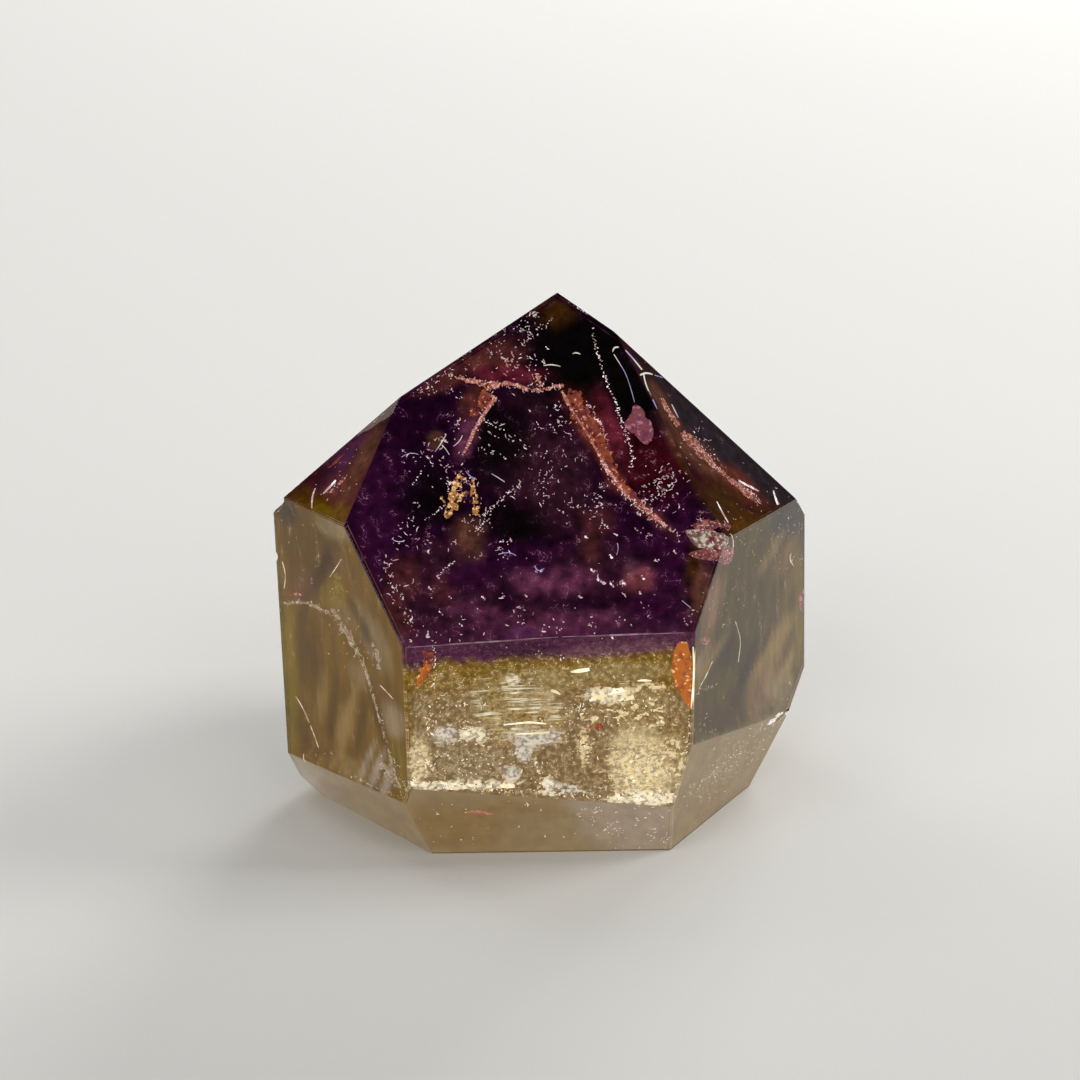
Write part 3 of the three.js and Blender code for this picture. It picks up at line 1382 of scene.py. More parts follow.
TIP_OUTLINES_TIP = (
    ((613, 353, 0.6), (612, 349, 1.2), (616, 346, 1.3), (621, 348, 1)),
    ((613, 353, 0.7), (620, 364, 0.6), (626, 374, 0.5), (631, 389, 0.5), (635, 404, 0.5)),
    ((542, 366, 0.5), (552, 364, 1.1), (562, 367, 0.5)), ((572, 354, 0.5), (577, 352, 1.1), (581, 355, 0.5)),
    ((490, 473, 0.5), (499, 478, 0.8), (506, 483, 0.5)), ((392, 539, 0.5), (398, 543, 0.8), (406, 540, 0.5)),
    ((535, 564, 0.7), (535, 571, 1.1), (541, 572, 0.6), (545, 567, 0.5)),
    ((497, 555, 0.6), (505, 552, 0.7), (514, 553, 0.5), (517, 557, 0.6)),
    ((617, 542, 0.6), (619, 549, 0.5), (616, 556, 0.5)), ((681, 600, 0.5), (686, 604, 0.6), (691, 608, 0.5)),
    ((400, 458, 0.5), (410, 452, 0.6), (420, 455, 0.5)), ((434, 453, 0.6), (441, 444, 1.0), (447, 433, 0.6)),
    ((441, 444, 0.8), (446, 449, 0.6), (450, 456, 0.5)), ((452, 447, 0.5), (459, 443, 0.8), (463, 434, 0.6)),
    ((465, 470, 0.5), (470, 477, 0.7), (478, 480, 0.5)),
)

TIP_OUTLINES_SHOULDER = (
    ((624, 349, 1), (631, 356, 1.1), (643, 371, 1.3)), ((643, 372, 1.3), (646, 386, 1.2), (652, 398, 1)),
    ((652, 398, 1), (657, 409, 0.7), (661, 419, 0.5)), ((639, 376, 1.5), (645, 372, 2), (654, 375, 0.8)),
    ((654, 375, 0.8), (664, 378, 0.5)), ((671, 403, 0.5), (675, 411, 1), (679, 419, 0.6)),
)

class TipRegion(Region):
    """Under the large front face of the point: plum veils, rust veins and silver curls."""

    def veils(self) -> tuple[tuple[Face, Veil], ...]:
        """Returns the plum veil under the whole face."""
        return ((Face.TIP, Veil(
            "veil_tip", Hue.NIGHT, VeilFinish("tip_veil", mottle_mm=1.1, contrast=0.6),
            (
                Wash((720, 530), (340, 545), Hue.PLUM, 34, 0.8),
                Wash((720, 575), (340, 590), Hue.MURK, 30, 0.7),
                Wash((720, 625), (380, 640), Hue.VIOLET, 22, 0.75), *TIP_STAINS,
            ),
            deep_mm=1.9, seed=3.0,
        )),)

    def growths(self) -> tuple[Growth, ...]:
        """Returns the films, lumps, curls and outlines."""
        return (*self.films(), *self.lumps(), self.curls(), self.beads(), self.outlines(), self.edge())

    def films(self) -> tuple[Growth, ...]:
        """Returns the red, pink and amber films."""
        rust = Growth("vein_rust", CrustFinish(
            "rust", Hue.WINE, Hue.RUST, Hue.EMBER, 0.8, 0.3, (0.80, 0.42, 0.28), 0.62), (
            *under(
                Face.TIP,
                Vein(
                ((563, 385, 10), (570, 394, 22), (582, 412, 30), (596, 434, 26), (606, 456, 17),
                 (616, 476, 15), (630, 494, 14), (648, 512, 11), (672, 531, 5)),
                (0.8, 1.1), ragged=0.9, holes=-0.55, seed=2.0,
            ),
                Vein(((494, 386, 22), (482, 402, 20), (474, 420, 12)), ragged=0.9, seed=5.0, holes=-0.3),
                Vein(((420, 642, 8), (430, 655, 14), (428, 668, 16), (422, 680, 10)), seed=9.0),
            ),
            (Face.FRONT, Vein(((429, 650, 8), (428, 660, 12), (425, 668, 10)), seed=9.0)),
        ))
        rose = Growth(
            "vein_rose",
            CrustFinish("rose", Hue.RUST, Hue.SALMON, Hue.SALMON, 0.5, 0.2, (0.80, 0.50, 0.42), 0.54),
            (*under(
                Face.TIP,
                Vein(
                    (
                        (414, 393, 4), (428, 386, 12), (441, 378, 6), (446, 371, 3), (462, 380, 5),
                        (476, 381, 8), (488, 386, 19), (500, 383, 9), (515, 384, 7), (530, 391, 6),
                        (545, 389, 6), (560, 385, 6), (570, 388, 5),
                    ),
                    (0.6, 0.8), crumple_mm=0.2, ragged=1.0, holes=-0.4, seed=3.0,
                ),
                Vein(
                    ((497, 394, 6), (487, 410, 6), (478, 423, 5), (470, 440, 6), (463, 456, 3)), (0.7, 0.8),
                    ragged=0.7, seed=16.0,
                ),
                Vein(
                    (
                        (560, 388, 3), (567, 401, 6), (574, 414, 4), (585, 430, 3), (595, 447, 4),
                        (603, 463, 6), (615, 481, 7), (629, 497, 6),
                    ),
                    (0.6, 0.8), crumple_mm=0.15, ragged=1.0, holes=-0.5, seed=19.0,
                ),
                Vein(((505, 350, 8), (512, 358, 14), (504, 366, 10)), ragged=1.1, holes=-0.1, seed=14.0),
                Vein(((532, 372, 8), (540, 380, 14), (543, 388, 8)), ragged=1.1, holes=-0.1, seed=15.0),
                Vein(((640, 504, 5), (652, 514, 8), (668, 528, 4)), (0.8, 0.9), ragged=0.8, seed=18.0),
            ),),
        )
        amber = Growth(
            "vein_amber",
            CrustFinish("amber", Hue.SEPIA, Hue.AMBER, Hue.AMBER, 0.6, 0.22, (0.90, 0.60, 0.30), 0.55),
            (*under(
                Face.TIP,
                Vein(
                    ((463, 472, 12), (456, 489, 30), (452, 505, 28), (447, 521, 10)), ragged=1.0, seed=6.0,
                    holes=-0.25,
                ),
                Vein(((472, 476, 7), (475, 498, 11), (476, 518, 12)), ragged=1.0, seed=7.0, holes=-0.2),
            ),),
        )
        return rust, rose, amber

    def lumps(self) -> tuple[Growth, ...]:
        """Returns the pink lump and the knob at the face's right corner."""
        pink = CrustFinish("pink", Hue.MAUVE, Hue.ROSE, Hue.ROSE, 0.6, 0.5, (0.40, 0.15, 0.19), 0.57)
        knob = CrustFinish(
            "knob", Hue.MAUVE_GREY, Hue.LILAC_GREY, Hue.SILVER, 0.5, 0.25, (0.70, 0.64, 0.64), 0.60, 0.5,
        )
        coral = CrustFinish("coral_pink", Hue.MAROON, Hue.ROSE, Hue.SALMON, 0.5, glow=0.5)
        return (
            Growth("lump_pink", pink, ((Face.TIP, Lump((641, 424), (16, 17), 0.9, turn=-20, seed=2.0)),)),
            Growth("knob_grey", knob, ((Face.TIP, Lump((711, 539), (24, 9), 0.36, 0.3, 0.3, 8, seed=11.0)),)),
            Growth("knob_pink", coral, (
                *under(
                    Face.TIP, Lump((711, 525), (15, 5), 0.42, 0.3, 0.35, 0, 4, 15.0),
                    Lump((712, 554), (18, 6), 0.44, 0.3, 0.35, 5, 4, 12.0),
                ),
                (Face.RIGHT_POINT, Lump((722, 530), (8, 9), 0.7, 0.3, 0.4, 20, 3, 13.0)),
                *under(
                    Face.RIGHT, Lump((724, 554), (9, 9), 0.45, 0.3, 0.35, 20, 3, 14.0),
                    Lump((705, 641), (5, 4), 0.5, 0.3, 0.3, -20, 3, 16.0),
                    Lump((802, 600), (3, 11), 0.35, 0.25, 0.2, 4, 3, 17.0),
                ),
            )),
            Growth("lump_silver", CrustFinish("silver", Hue.LILAC_GREY, Hue.SILVER, Hue.SILVER, 0.4), (*under(
                Face.TIP,
                Vein(
                    ((425, 628, 4), (428, 637, 9), (430, 645, 7)), (0.6, 0.6), 0.15, ragged=1.2, holes=-0.1,
                    seed=62.0,
                ),
                Vein(
                    ((508, 325, 3), (521, 332, 8), (536, 329, 3)), (0.6, 0.6), 0.1, ragged=1.3, holes=0.0,
                    seed=61.0,
                ),
                Lump((534, 314), (3, 3), 0.5, 0.2, 0.3, 0, 2, 9.0),
            ),)),
        )

    def curls(self) -> Growth:
        """Returns the clusters of fine bent flakes."""
        scatter = ((540, 440, 190, 22), (520, 560, 200, 36), (560, 350, 90, 5))
        # The curls' white and glow are painted glints.
        return Growth("curls_tip", GlintFinish("curls", (0.74, 0.66, 0.66)), (*under(
            Face.TIP,
            Flecks(TIP_CURLS_SWARMS, TIP_CURLS_TRAILS, (0.12, 0.60), (0.045, 0.11), tip=0.6, seed=11),
            Flecks(scatter, (), (0.10, 0.4), (0.05, 0.12), curl=1.0, seed=12),
        ),))

    def beads(self) -> Growth:
        """Returns the chains of bright beads and the single bright grains."""
        def grain(x: float, y: float, size: float, seed: int) -> tuple[Face, Beads]:
            return Face.TIP, Beads(
                ((x - 1.5, y - 1.5), (x + 1.5, y + 1.5)), 3, (size * 0.6, size), 0.3, seed=seed,
            )

        # The beads' brightness and glow are painted glints.
        return Growth("beads_tip", GlintFinish("beads", vary_mm=0.4), (
            *((Face.TIP, Beads(path, count, (0.06, 0.24), spread, seed=30 + step))
              for step, (path, count, spread) in enumerate(TIP_BEADS_CHAINS)),
            *(grain(x, y, size, 60 + step) for step, (x, y, size) in enumerate(TIP_BEADS_SPOTS)),
        ))

    def outlines(self) -> Growth:
        """Returns the fine outlines of the clear fractures."""
        fine = {"depth_mm": (0.4, 0.5), "crumple_mm": 0.05, "ragged": 0.0, "cell": 1.5}
        # The outlines' pale colour and glow are painted glints.
        return Growth("outline_fracture", GlintFinish("outline", (0.62, 0.62, 0.5), (0.3, 0.25, 0.5), 2.5), (
            *((Face.TIP, Vein(path, **fine)) for path in TIP_OUTLINES_TIP),
            *((Face.RIGHT_POINT, Vein(path, **fine)) for path in TIP_OUTLINES_SHOULDER),
        ))


    def edge(self) -> Growth:
        """Returns the faint line of light along the face's lower edge."""
        thin = {"depth_mm": (0.3, 0.3), "crumple_mm": 0.0, "ragged": 0.0, "cell": 1.5}
        return Growth(
            "edge_light", GlintFinish("edge_light", (0.26, 0.17, 0.20), (0.12, 0.06, 0.09), 1.2),
            (*under(
                Face.TIP, Vein(((404, 647, 0.4), (480, 642, 0.5), (560, 637, 0.6)), **thin),
                Vein(((560, 637, 0.6), (620, 634.5, 0.7), (686, 632, 0.7)), **thin),
            ),),
        )


LEFT_POINT_STAINS = patches(
    (340, 462, 70, 10, Hue.NIGHT, 1.0, -43), (350, 452, 26, 10, Hue.VIOLET, 0.95, -45),
    (300, 490, 34, 9, Hue.DARK_WINE, 1.0, -38), (336, 487, 20, 14, Hue.ROSE, 0.25, -30),
    (360, 462, 7, 44, Hue.SEPIA, 0.9, 26), (314, 502, 26, 12, Hue.MUSTARD, 1.0, 22),
    (326, 511, 14, 6, Hue.MOSS, 0.6, 25), (341, 514, 9, 10, Hue.TAN, 0.6),
)

RIGHT_POINT_STAINS = patches(
    (706, 428, 90, 20, Hue.DUSK, 1.0, 42), (745, 465, 70, 18, Hue.DUSK, 1.0, 42),
    (786, 502, 26, 18, Hue.DUSK, 0.9, 40), (664, 404, 26, 6, Hue.SEPIA, 1.0, 58),
    (700, 456, 44, 10, Hue.SEPIA, 1.0, 46), (742, 486, 34, 9, Hue.RUST, 0.55, 42),
    (716, 500, 22, 20, Hue.BROWN, 1.0), (728, 516, 24, 12, Hue.BROWN, 1.0, 20),
    (742, 522, 20, 8, Hue.MUSTARD, 0.9, -20), (770, 515, 20, 12, Hue.DARK_OLIVE, 0.8),
    (690, 490, 12, 30, Hue.DARK_WINE, 0.9, -28),
)

SHOULDER_GROWTHS_RIGHT = (
    ((737, 480, 1), (749, 486, 2), (760, 492, 1.2)), ((773, 489, 1), (775, 498, 1.6), (779, 506, 2.6)),
    ((759, 521, 1.4), (763, 527, 2.4), (762, 532, 1.4)), ((716, 500, 0.8), (722, 512, 1.2), (729, 524, 1)),
)

class ShoulderRegion(Region):
    """Under the two small front faces of the point."""

    def veils(self) -> tuple[tuple[Face, Veil], ...]:
        """Returns the veil of each face."""
        soft = {"contrast": 0.35, "wisp_from": 0.62}
        left = Veil(
            "veil_left_point", Hue.MAROON, VeilFinish("left_point_veil", **soft), (*LEFT_POINT_STAINS,),
            deep_mm=1.2, rise=20, seed=21.0,
        )
        right = Veil(
            "veil_right_point", Hue.DARK_WINE, VeilFinish("right_point_veil", **soft), (*RIGHT_POINT_STAINS,),
            deep_mm=1.2, rise=20, seed=22.0,
        )
        return (Face.LEFT_POINT, left), (Face.RIGHT_POINT, right)

    def growths(self) -> tuple[Growth, ...]:
        """Returns the veins and flecks under both faces."""
        coral = Growth(
            "vein_coral",
            CrustFinish("coral", Hue.SEPIA, Hue.RUST, Hue.SALMON, 0.6, 0.2, (0.75, 0.48, 0.38), 0.56),
            (
                *under(
                    Face.RIGHT_POINT,
                    Vein(
                        (
                            (680, 430, 6), (690, 440, 13), (702, 453, 12), (714, 466, 6), (728, 478, 5),
                            (746, 492, 10), (762, 505, 5),
                        ),
                        (0.6, 0.7), crumple_mm=0.2, ragged=0.6, seed=24.0,
                    ),
                    Vein(((660, 396, 3), (668, 410, 6), (680, 428, 5)), (0.4, 0.5), seed=25.0),
                ),
                (
                    Face.LEFT_POINT,
                    Vein(((328, 494, 2), (337, 486, 3), (347, 476, 2)), (0.4, 0.5), ragged=1.0, seed=26.0),
                ),
            ),
        )
        fine = {"depth_mm": (0.3, 0.3), "crumple_mm": 0.05, "ragged": 0.0, "cell": 1.5}
        left = (
            ((316, 487, 0.8), (312, 497, 1.4), (312, 510, 1)),
            ((322, 495, 1), (329, 488, 2), (337, 479, 1.4)),
        )
        glint = Growth(
            "sparkle_points", GlintFinish("glint_points"),
            (
                *((Face.RIGHT_POINT, Vein(path, **fine)) for path in SHOULDER_GROWTHS_RIGHT),
                *((Face.LEFT_POINT, Vein(path, **fine)) for path in left),
                (Face.RIGHT_POINT, Flecks(
                    (
                        (692, 436, 14, 26), (702, 448, 14, 26), (716, 462, 10, 10), (700, 424, 8, 4),
                        (745, 505, 30, 12), (775, 510, 26, 16), (684, 470, 10, 6),
                    ),
                    (
                        (20, 1.0, ((700, 446), (714, 464), (728, 477))),
                        (34, 1.2, ((736, 481), (748, 490), (761, 503))),
                        (14, 1.0, ((660, 398), (668, 412), (678, 424))),
                    ),
                    (0.10, 0.45), (0.04, 0.09), seed=25,
                )),
                (Face.LEFT_POINT, Flecks(
                    ((340, 478, 20, 14), (330, 490, 16, 10), (352, 450, 20, 6)), (), (0.10, 0.4),
                    (0.04, 0.08), seed=26,
                )),
            ),
        )
        return coral, glint


FRONT_STAINS = patches(
    (400, 730, 12, 60, Hue.FRONT_OLIVE, 0.8), (448, 682, 14, 14, Hue.STREAK, 0.9),
    (545, 680, 30, 12, Hue.GOLDEN, 0.9), (620, 672, 50, 10, Hue.GOLDEN, 0.8),
    (650, 700, 30, 12, Hue.GOLDEN, 0.9), (500, 705, 26, 30, Hue.GOLDEN, 0.8),
    (420, 760, 9, 24, Hue.PALE_GOLD, 0.9), (444, 736, 10, 8, Hue.SILVER, 0.9),
    (540, 712, 20, 20, Hue.PALE_GOLD, 0.5), (536, 736, 18, 8, Hue.SILVER, 1.0),
    (640, 720, 26, 12, Hue.STREAK, 0.8), (645, 764, 34, 32, Hue.PALE_GOLD, 1.0),
    (622, 748, 12, 18, Hue.PALE_GOLD, 0.7), (672, 745, 14, 26, Hue.STREAK, 0.7),
    (598, 764, 13, 30, Hue.UMBER, 1.0, -4, None, 0.25), (551, 762, 11, 14, Hue.UMBER, 1.0, 0, None, 0.25),
    (470, 762, 40, 18, Hue.SMOKE, 1.0, 0, None, 0.3), (523, 752, 7, 9, Hue.SILVER, 0.9, 0, None, 0.3),
    (512, 774, 8, 8, Hue.SILVER, 0.9, 0, None, 0.3),
)

MORE_FRONT_STAINS = patches(
    (508, 702, 34, 32, Hue.CREAM, 1.0, 0, 1.0, 0.3), (545, 722, 26, 18, Hue.CREAM, 1.0, 0, 0.9, 0.3),
    (612, 692, 28, 12, Hue.CREAM, 1.0, 0, 0.8, 0.3), (650, 783, 34, 12, Hue.CREAM, 1.0, 0, 0.5, 0.3),
)

FRONT_GROWTHS_STREAKS = (
    ((569, 672, 1), (579, 671, 4), (591, 669, 3)), ((502, 725, 1), (530, 722, 2), (548, 724, 1)),
    ((514, 734, 1), (532, 733.5, 1.6), (551, 732, 1)), ((550, 690, 1), (555, 691, 3), (561, 695, 1)),
    ((636, 681, 1), (645, 680, 2), (653, 681, 1)), ((500, 786, 3), (509, 786, 4), (516, 786, 3)),
    ((693, 645, 0.8), (694, 672, 1.8), (693, 690, 2), (691, 709, 1)),
)

FRONT_GROWTHS_GOLD = (
    ((587, 701, 4), (597, 698, 8), (606, 694, 3)), ((606, 695, 5), (617, 691, 9), (630, 691, 4)),
    ((616, 701, 2), (626, 699, 4), (635, 697, 2)),
)

FRONT_GROWTHS_SWARMS = (
    (436, 708, 10, 12), (463, 700, 6, 8), (481, 706, 6, 8), (430, 722, 14, 20), (470, 735, 18, 40),
    (450, 765, 30, 40), (490, 765, 30, 44), (428, 765, 8, 22), (410, 783, 6, 40), (580, 712, 10, 30),
    (586, 748, 12, 24), (560, 725, 16, 20), (616, 715, 18, 26), (640, 755, 40, 60), (625, 780, 24, 30),
    (665, 770, 24, 30), (655, 705, 24, 22), (548, 785, 12, 26), (535, 768, 10, 16), (600, 690, 30, 22),
    (520, 665, 30, 10), (560, 655, 12, 6),
)

FRONT_GROWTHS_TRAILS = (
    (80, 1.4, ((415, 783), (450, 784), (512, 790))), (60, 1.5, ((415, 788), (460, 789), (512, 794))),
    (40, 2.0, ((520, 792), (570, 796), (612, 797))), (130, 3.0, ((616, 797), (650, 798), (680, 800))),
    (26, 1.0, ((434, 645), (435, 668), (432, 688))), (20, 1.5, ((690, 716), (688, 740), (686, 760))),
)

class FrontRegion(Region):
    """Under the front side face: the end of the purple, gold veils, silver foil and fine lines."""

    def veils(self) -> tuple[tuple[Face, Veil], ...]:
        """Returns the golden veil, the foil in front of it and the growth lines in front of both."""
        veil = Veil(
            "veil_front", Hue.UMBER, VeilFinish(
                "front_veil", mottle_mm=0.45, contrast=0.42, wisp_mm=0.4, wisp_from=0.47, wisp_line=0.03,
                wisp=(0.74, 0.66, 0.48)),
            (
                Wash((400, 692), (690, 690), Hue.FRONT_OLIVE, 12, 0.9),
                *FRONT_STAINS,
                Wash((396, 664), (692, 648), Hue.VIOLET, 5, 1.0, 0.1, 8.0),
                Stain((416, 655), (20, 14), Hue.VIOLET, 1.0),
                Stain((612, 650), (66, 6), Hue.MAUVE_GREY, 0.95, -4),
                Stain((520, 650), (44, 8), Hue.PLUM, 0.6),
            ),
            rim_mm=0.45, deep_mm=2.0, rise=30, seed=31.0,
        )
        return (Face.FRONT, veil), (Face.FRONT, self.foil()), (Face.FRONT, self.lines())

    def foil(self) -> Veil:
        """Returns the crumpled foil in front of the veil: a healed fracture whose silver and gold are painted
        reflection.
        """
        spots = (
            (514, 681, 9, 7, Hue.CREAM, 1.0), (500, 712, 24, 28, Hue.GOLDEN, 0.5),
            (541, 715, 22, 20, Hue.STREAK, 0.6), (540, 737, 24, 8, Hue.SILVER, 0.95),
            (474, 735, 14, 9, Hue.CREAM, 0.75), (444, 734, 16, 12, Hue.SILVER, 0.6),
            (420, 762, 11, 26, Hue.PALE_GOLD, 0.8), (470, 764, 40, 18, Hue.SMOKE, 0.38),
            (524, 752, 9, 11, Hue.SILVER, 0.85), (512, 774, 10, 9, Hue.SILVER, 0.85),
            (584, 748, 7, 20, Hue.PALE_GOLD, 0.8), (612, 696, 30, 8, Hue.CREAM, 1.0),
            (608, 716, 24, 8, Hue.PALE_GOLD, 0.4), (645, 712, 30, 20, Hue.PALE_GOLD, 0.35),
            (640, 765, 36, 32, Hue.PALE_GOLD, 0.72), (676, 760, 12, 30, Hue.PALE_GOLD, 0.5),
            (465, 785, 60, 5, Hue.CREAM, 0.85), (548, 788, 9, 11, Hue.CREAM, 0.95),
            (648, 798, 36, 7, Hue.CREAM, 1.0), (575, 790, 30, 6, Hue.SILVER, 0.5),
            (650, 688, 20, 6, Hue.PALE_GOLD, 0.5), (430, 690, 20, 16, Hue.STREAK, 0.35),
        )
        stains = tuple(Stain((x, y), (rx, ry), hue, 1.0, cover=cover) for x, y, rx, ry, hue, cover in spots)
        return Veil(
            "foil_front", Hue.GOLDEN, FoilFinish("front_foil", 0.7, 0.35, (0.8, 1.0, 1.2)), stains, cover=0.0,
            rim_mm=0.3, deep_mm=0.9, crumple_mm=0.4, lump=9.0, cell=2.2, rise=14, seed=32.0, least=0.12,
        )

    def lines(self) -> Veil:
        """Returns the fine level lines left by growth on the prism face."""
        stains = (*MORE_FRONT_STAINS,)
        finish = LineFinish(
            "front_lines", 1.3, 0.035, 0.46, 1.4, (0.14, 1.0, 4.5), (0.80, 0.74, 0.56), (0.48, 0.38, 0.20),
            0.6,
        )
        return Veil(
            "lines_front", Hue.CREAM, finish, stains,
            cover=0.0, rim_mm=0.2, deep_mm=0.3, crumple_mm=0.05, rise=12, seed=33.0, least=0.3,
        )

    def growths(self) -> tuple[Growth, ...]:
        """Returns the orange flame, the bright streaks and the crumbs of the lower edge."""
        flame = Growth("flame_orange", CrustFinish(
            "flame", Hue.EMBER, Hue.ORANGE, Hue.ORANGE, 0.9, 0.3, (0.95, 0.62, 0.26), 0.62, 0.6), (
            *under(
                Face.FRONT,
                Vein(
                ((683, 640, 8), (682, 652, 18), (681, 668, 22), (683, 684, 17), (688, 698, 9), (690, 710, 2)),
                (0.35, 0.4), crumple_mm=0.12, ragged=0.12, seed=34.0,
            ),
                Vein(((429, 662, 8), (426, 670, 15), (421, 679, 12), (415, 690, 4)), ragged=0.7, seed=10.0),
            ),
        ))
        ember = Growth("spot_red", CrustFinish("red_spot", Hue.RUST, Hue.EMBER, Hue.SALMON, 0.5), (*under(
            Face.FRONT, Lump((599, 727), (4, 4), 0.5, 0.3, 0.2, 0, 3, 9.0),
            Lump((588, 727), (6, 1.4), 0.4, 0.2, 0.2, 0, 3, 10.0),
        ),))
        even = {"depth_mm": (0.25, 0.3), "crumple_mm": 0.05, "ragged": 0.2, "cell": 1.5}
        # The bright streaks are painted glints that glow.
        bright = Growth(
            "streak_front", GlintFinish("gleam", (1.0, 0.95, 0.76), (0.80, 0.66, 0.38), 0.9),
            (
                *((Face.FRONT, Vein(path, **even)) for path in FRONT_GROWTHS_STREAKS),
                *(
                    (
                        Face.FRONT, Vein(path, (0.3, 0.3), 0.1, ragged=0.8, holes=-0.4, seed=35.0),
                    ) for path in FRONT_GROWTHS_GOLD
                ),
            ),
        )
        # The crumbs' white and glow are painted glints.
        crumbs = Growth("crumbs_front", GlintFinish("crumbs", (1.0, 0.94, 0.80), (0.62, 0.50, 0.32)), ((
            Face.FRONT,
            Flecks(
                FRONT_GROWTHS_SWARMS, FRONT_GROWTHS_TRAILS, (0.10, 0.45), (0.05, 0.12), (0.2, 0.7), seed=36,
            ),
        ),))
        return flame, ember, bright, crumbs


LEFT_STAINS = patches(
    (312, 545, 34, 30, Hue.DARK_OLIVE, 0.45, 20), (322, 572, 8, 34, Hue.DARK_OLIVE, 0.75, 24),
    (334, 528, 18, 10, Hue.SMOKE, 0.65, 30), (292, 586, 20, 14, Hue.SEPIA, 0.55),
    (288, 594, 12, 8, Hue.RUST, 0.35), (287, 512, 11, 14, Hue.DUSK, 0.75),
    (288, 680, 8, 90, Hue.MOSS, 1.0, -3), (312, 650, 14, 40, Hue.DARK_OLIVE, 0.35),
    (336, 592, 10, 14, Hue.MOSS, 0.9, 20), (352, 580, 8, 34, Hue.TAN, 0.8, -28),
    (374, 640, 10, 34, Hue.SMOKE, 0.6, -24), (345, 616, 9, 16, Hue.SMOKE, 0.3, -34),
    (362, 625, 4, 26, Hue.DARK_OLIVE, 0.6, -26), (357, 672, 9, 16, Hue.SMOKE, 0.45, -20),
    (386, 700, 10, 22, Hue.TAN, 0.8, -16), (394, 722, 9, 20, Hue.SMOKE, 0.85, -12),
    (378, 716, 4, 40, Hue.DARK_OLIVE, 0.45, -14), (345, 724, 7, 28, Hue.STREAK, 1.0, 9),
    (352, 702, 4, 20, Hue.STREAK, 0.8, 12), (321, 698, 5, 26, Hue.STREAK, 0.55, 6),
    (333, 712, 4, 38, Hue.DARK_OLIVE, 0.5, 7), (360, 728, 5, 34, Hue.DARK_OLIVE, 0.45, 8),
    (304, 732, 8, 30, Hue.DARK_OLIVE, 0.35, -4), (352, 768, 20, 9, Hue.STREAK, 0.8, 24),
    (376, 772, 4, 22, Hue.PALE_SMOKE, 0.9, 22), (388, 780, 4, 20, Hue.PALE_SMOKE, 0.9, 22),
    (366, 764, 3, 20, Hue.PALE_SMOKE, 0.8, 22), (400, 770, 6, 26, Hue.MOSS, 0.8, -8),
)

RIGHT_STAINS = patches(
    (790, 520, 22, 26, Hue.DUSK, 0.9, 0, None, 0.5), (745, 520, 26, 10, Hue.TAN, 0.35, -26),
    (785, 558, 5, 22, Hue.TAN, 0.8, 24), (770, 555, 4, 26, Hue.STREAK, 0.5, 30),
    (712, 606, 8, 34, Hue.LILAC_GREY, 0.9, 12), (699, 590, 6, 34, Hue.MURK, 0.9, 14),
    (745, 600, 22, 26, Hue.BROWN, 0.4), (776, 660, 17, 48, Hue.STREAK, 0.85, 24),
    (766, 640, 3, 36, Hue.DARK_OLIVE, 0.8, 26), (788, 646, 4, 40, Hue.BROWN, 0.7, 22),
    (760, 694, 8, 30, Hue.LILAC_GREY, 0.7, 12), (780, 690, 14, 18, Hue.SMOKE, 0.6),
    (743, 676, 5, 46, Hue.PEAT, 0.95, 20), (730, 650, 14, 20, Hue.PEAT, 0.6, 20),
    (734, 706, 10, 18, Hue.BROWN, 0.8, 20), (706, 672, 6, 34, Hue.STREAK, 0.8, 30),
    (697, 668, 4, 26, Hue.SMOKE, 0.6, 26), (716, 664, 4, 34, Hue.PEAT, 0.8, 30),
    (716, 720, 16, 12, Hue.BROWN, 0.8), (799, 600, 5, 60, Hue.MOSS, 0.55),
    (790, 590, 6, 26, Hue.TAN, 0.6, 10),
)

SIDE_GROWTHS_LEFT = (
    ((295, 695, 0.5), (302, 706, 0.8), (310, 724, 0.8)), ((310, 724, 0.6), (315, 737, 0.7), (319, 749, 0.5)),
    ((304, 752, 0.5), (303, 762, 0.7), (308, 767, 1.1), (315, 764, 0.7)),
    ((342, 558, 0.5), (336, 568, 0.7), (329, 578, 0.7)), ((379, 684, 0.5), (386, 691, 0.8), (394, 700, 0.6)),
    ((282, 560, 0.5), (286, 575, 0.7), (284, 590, 0.5)),
)

SIDE_GROWTHS_RIGHT = (
    ((792, 552, 0.5), (789, 557, 1.3), (791, 563, 1.3), (794, 566, 0.6)),
    ((728, 528, 0.5), (734, 540, 0.8), (732, 556, 0.6)), ((735, 620, 0.4), (741, 640, 0.5), (738, 664, 0.4)),
    ((698, 690, 0.5), (706, 676, 0.7), (713, 660, 0.5)),
)

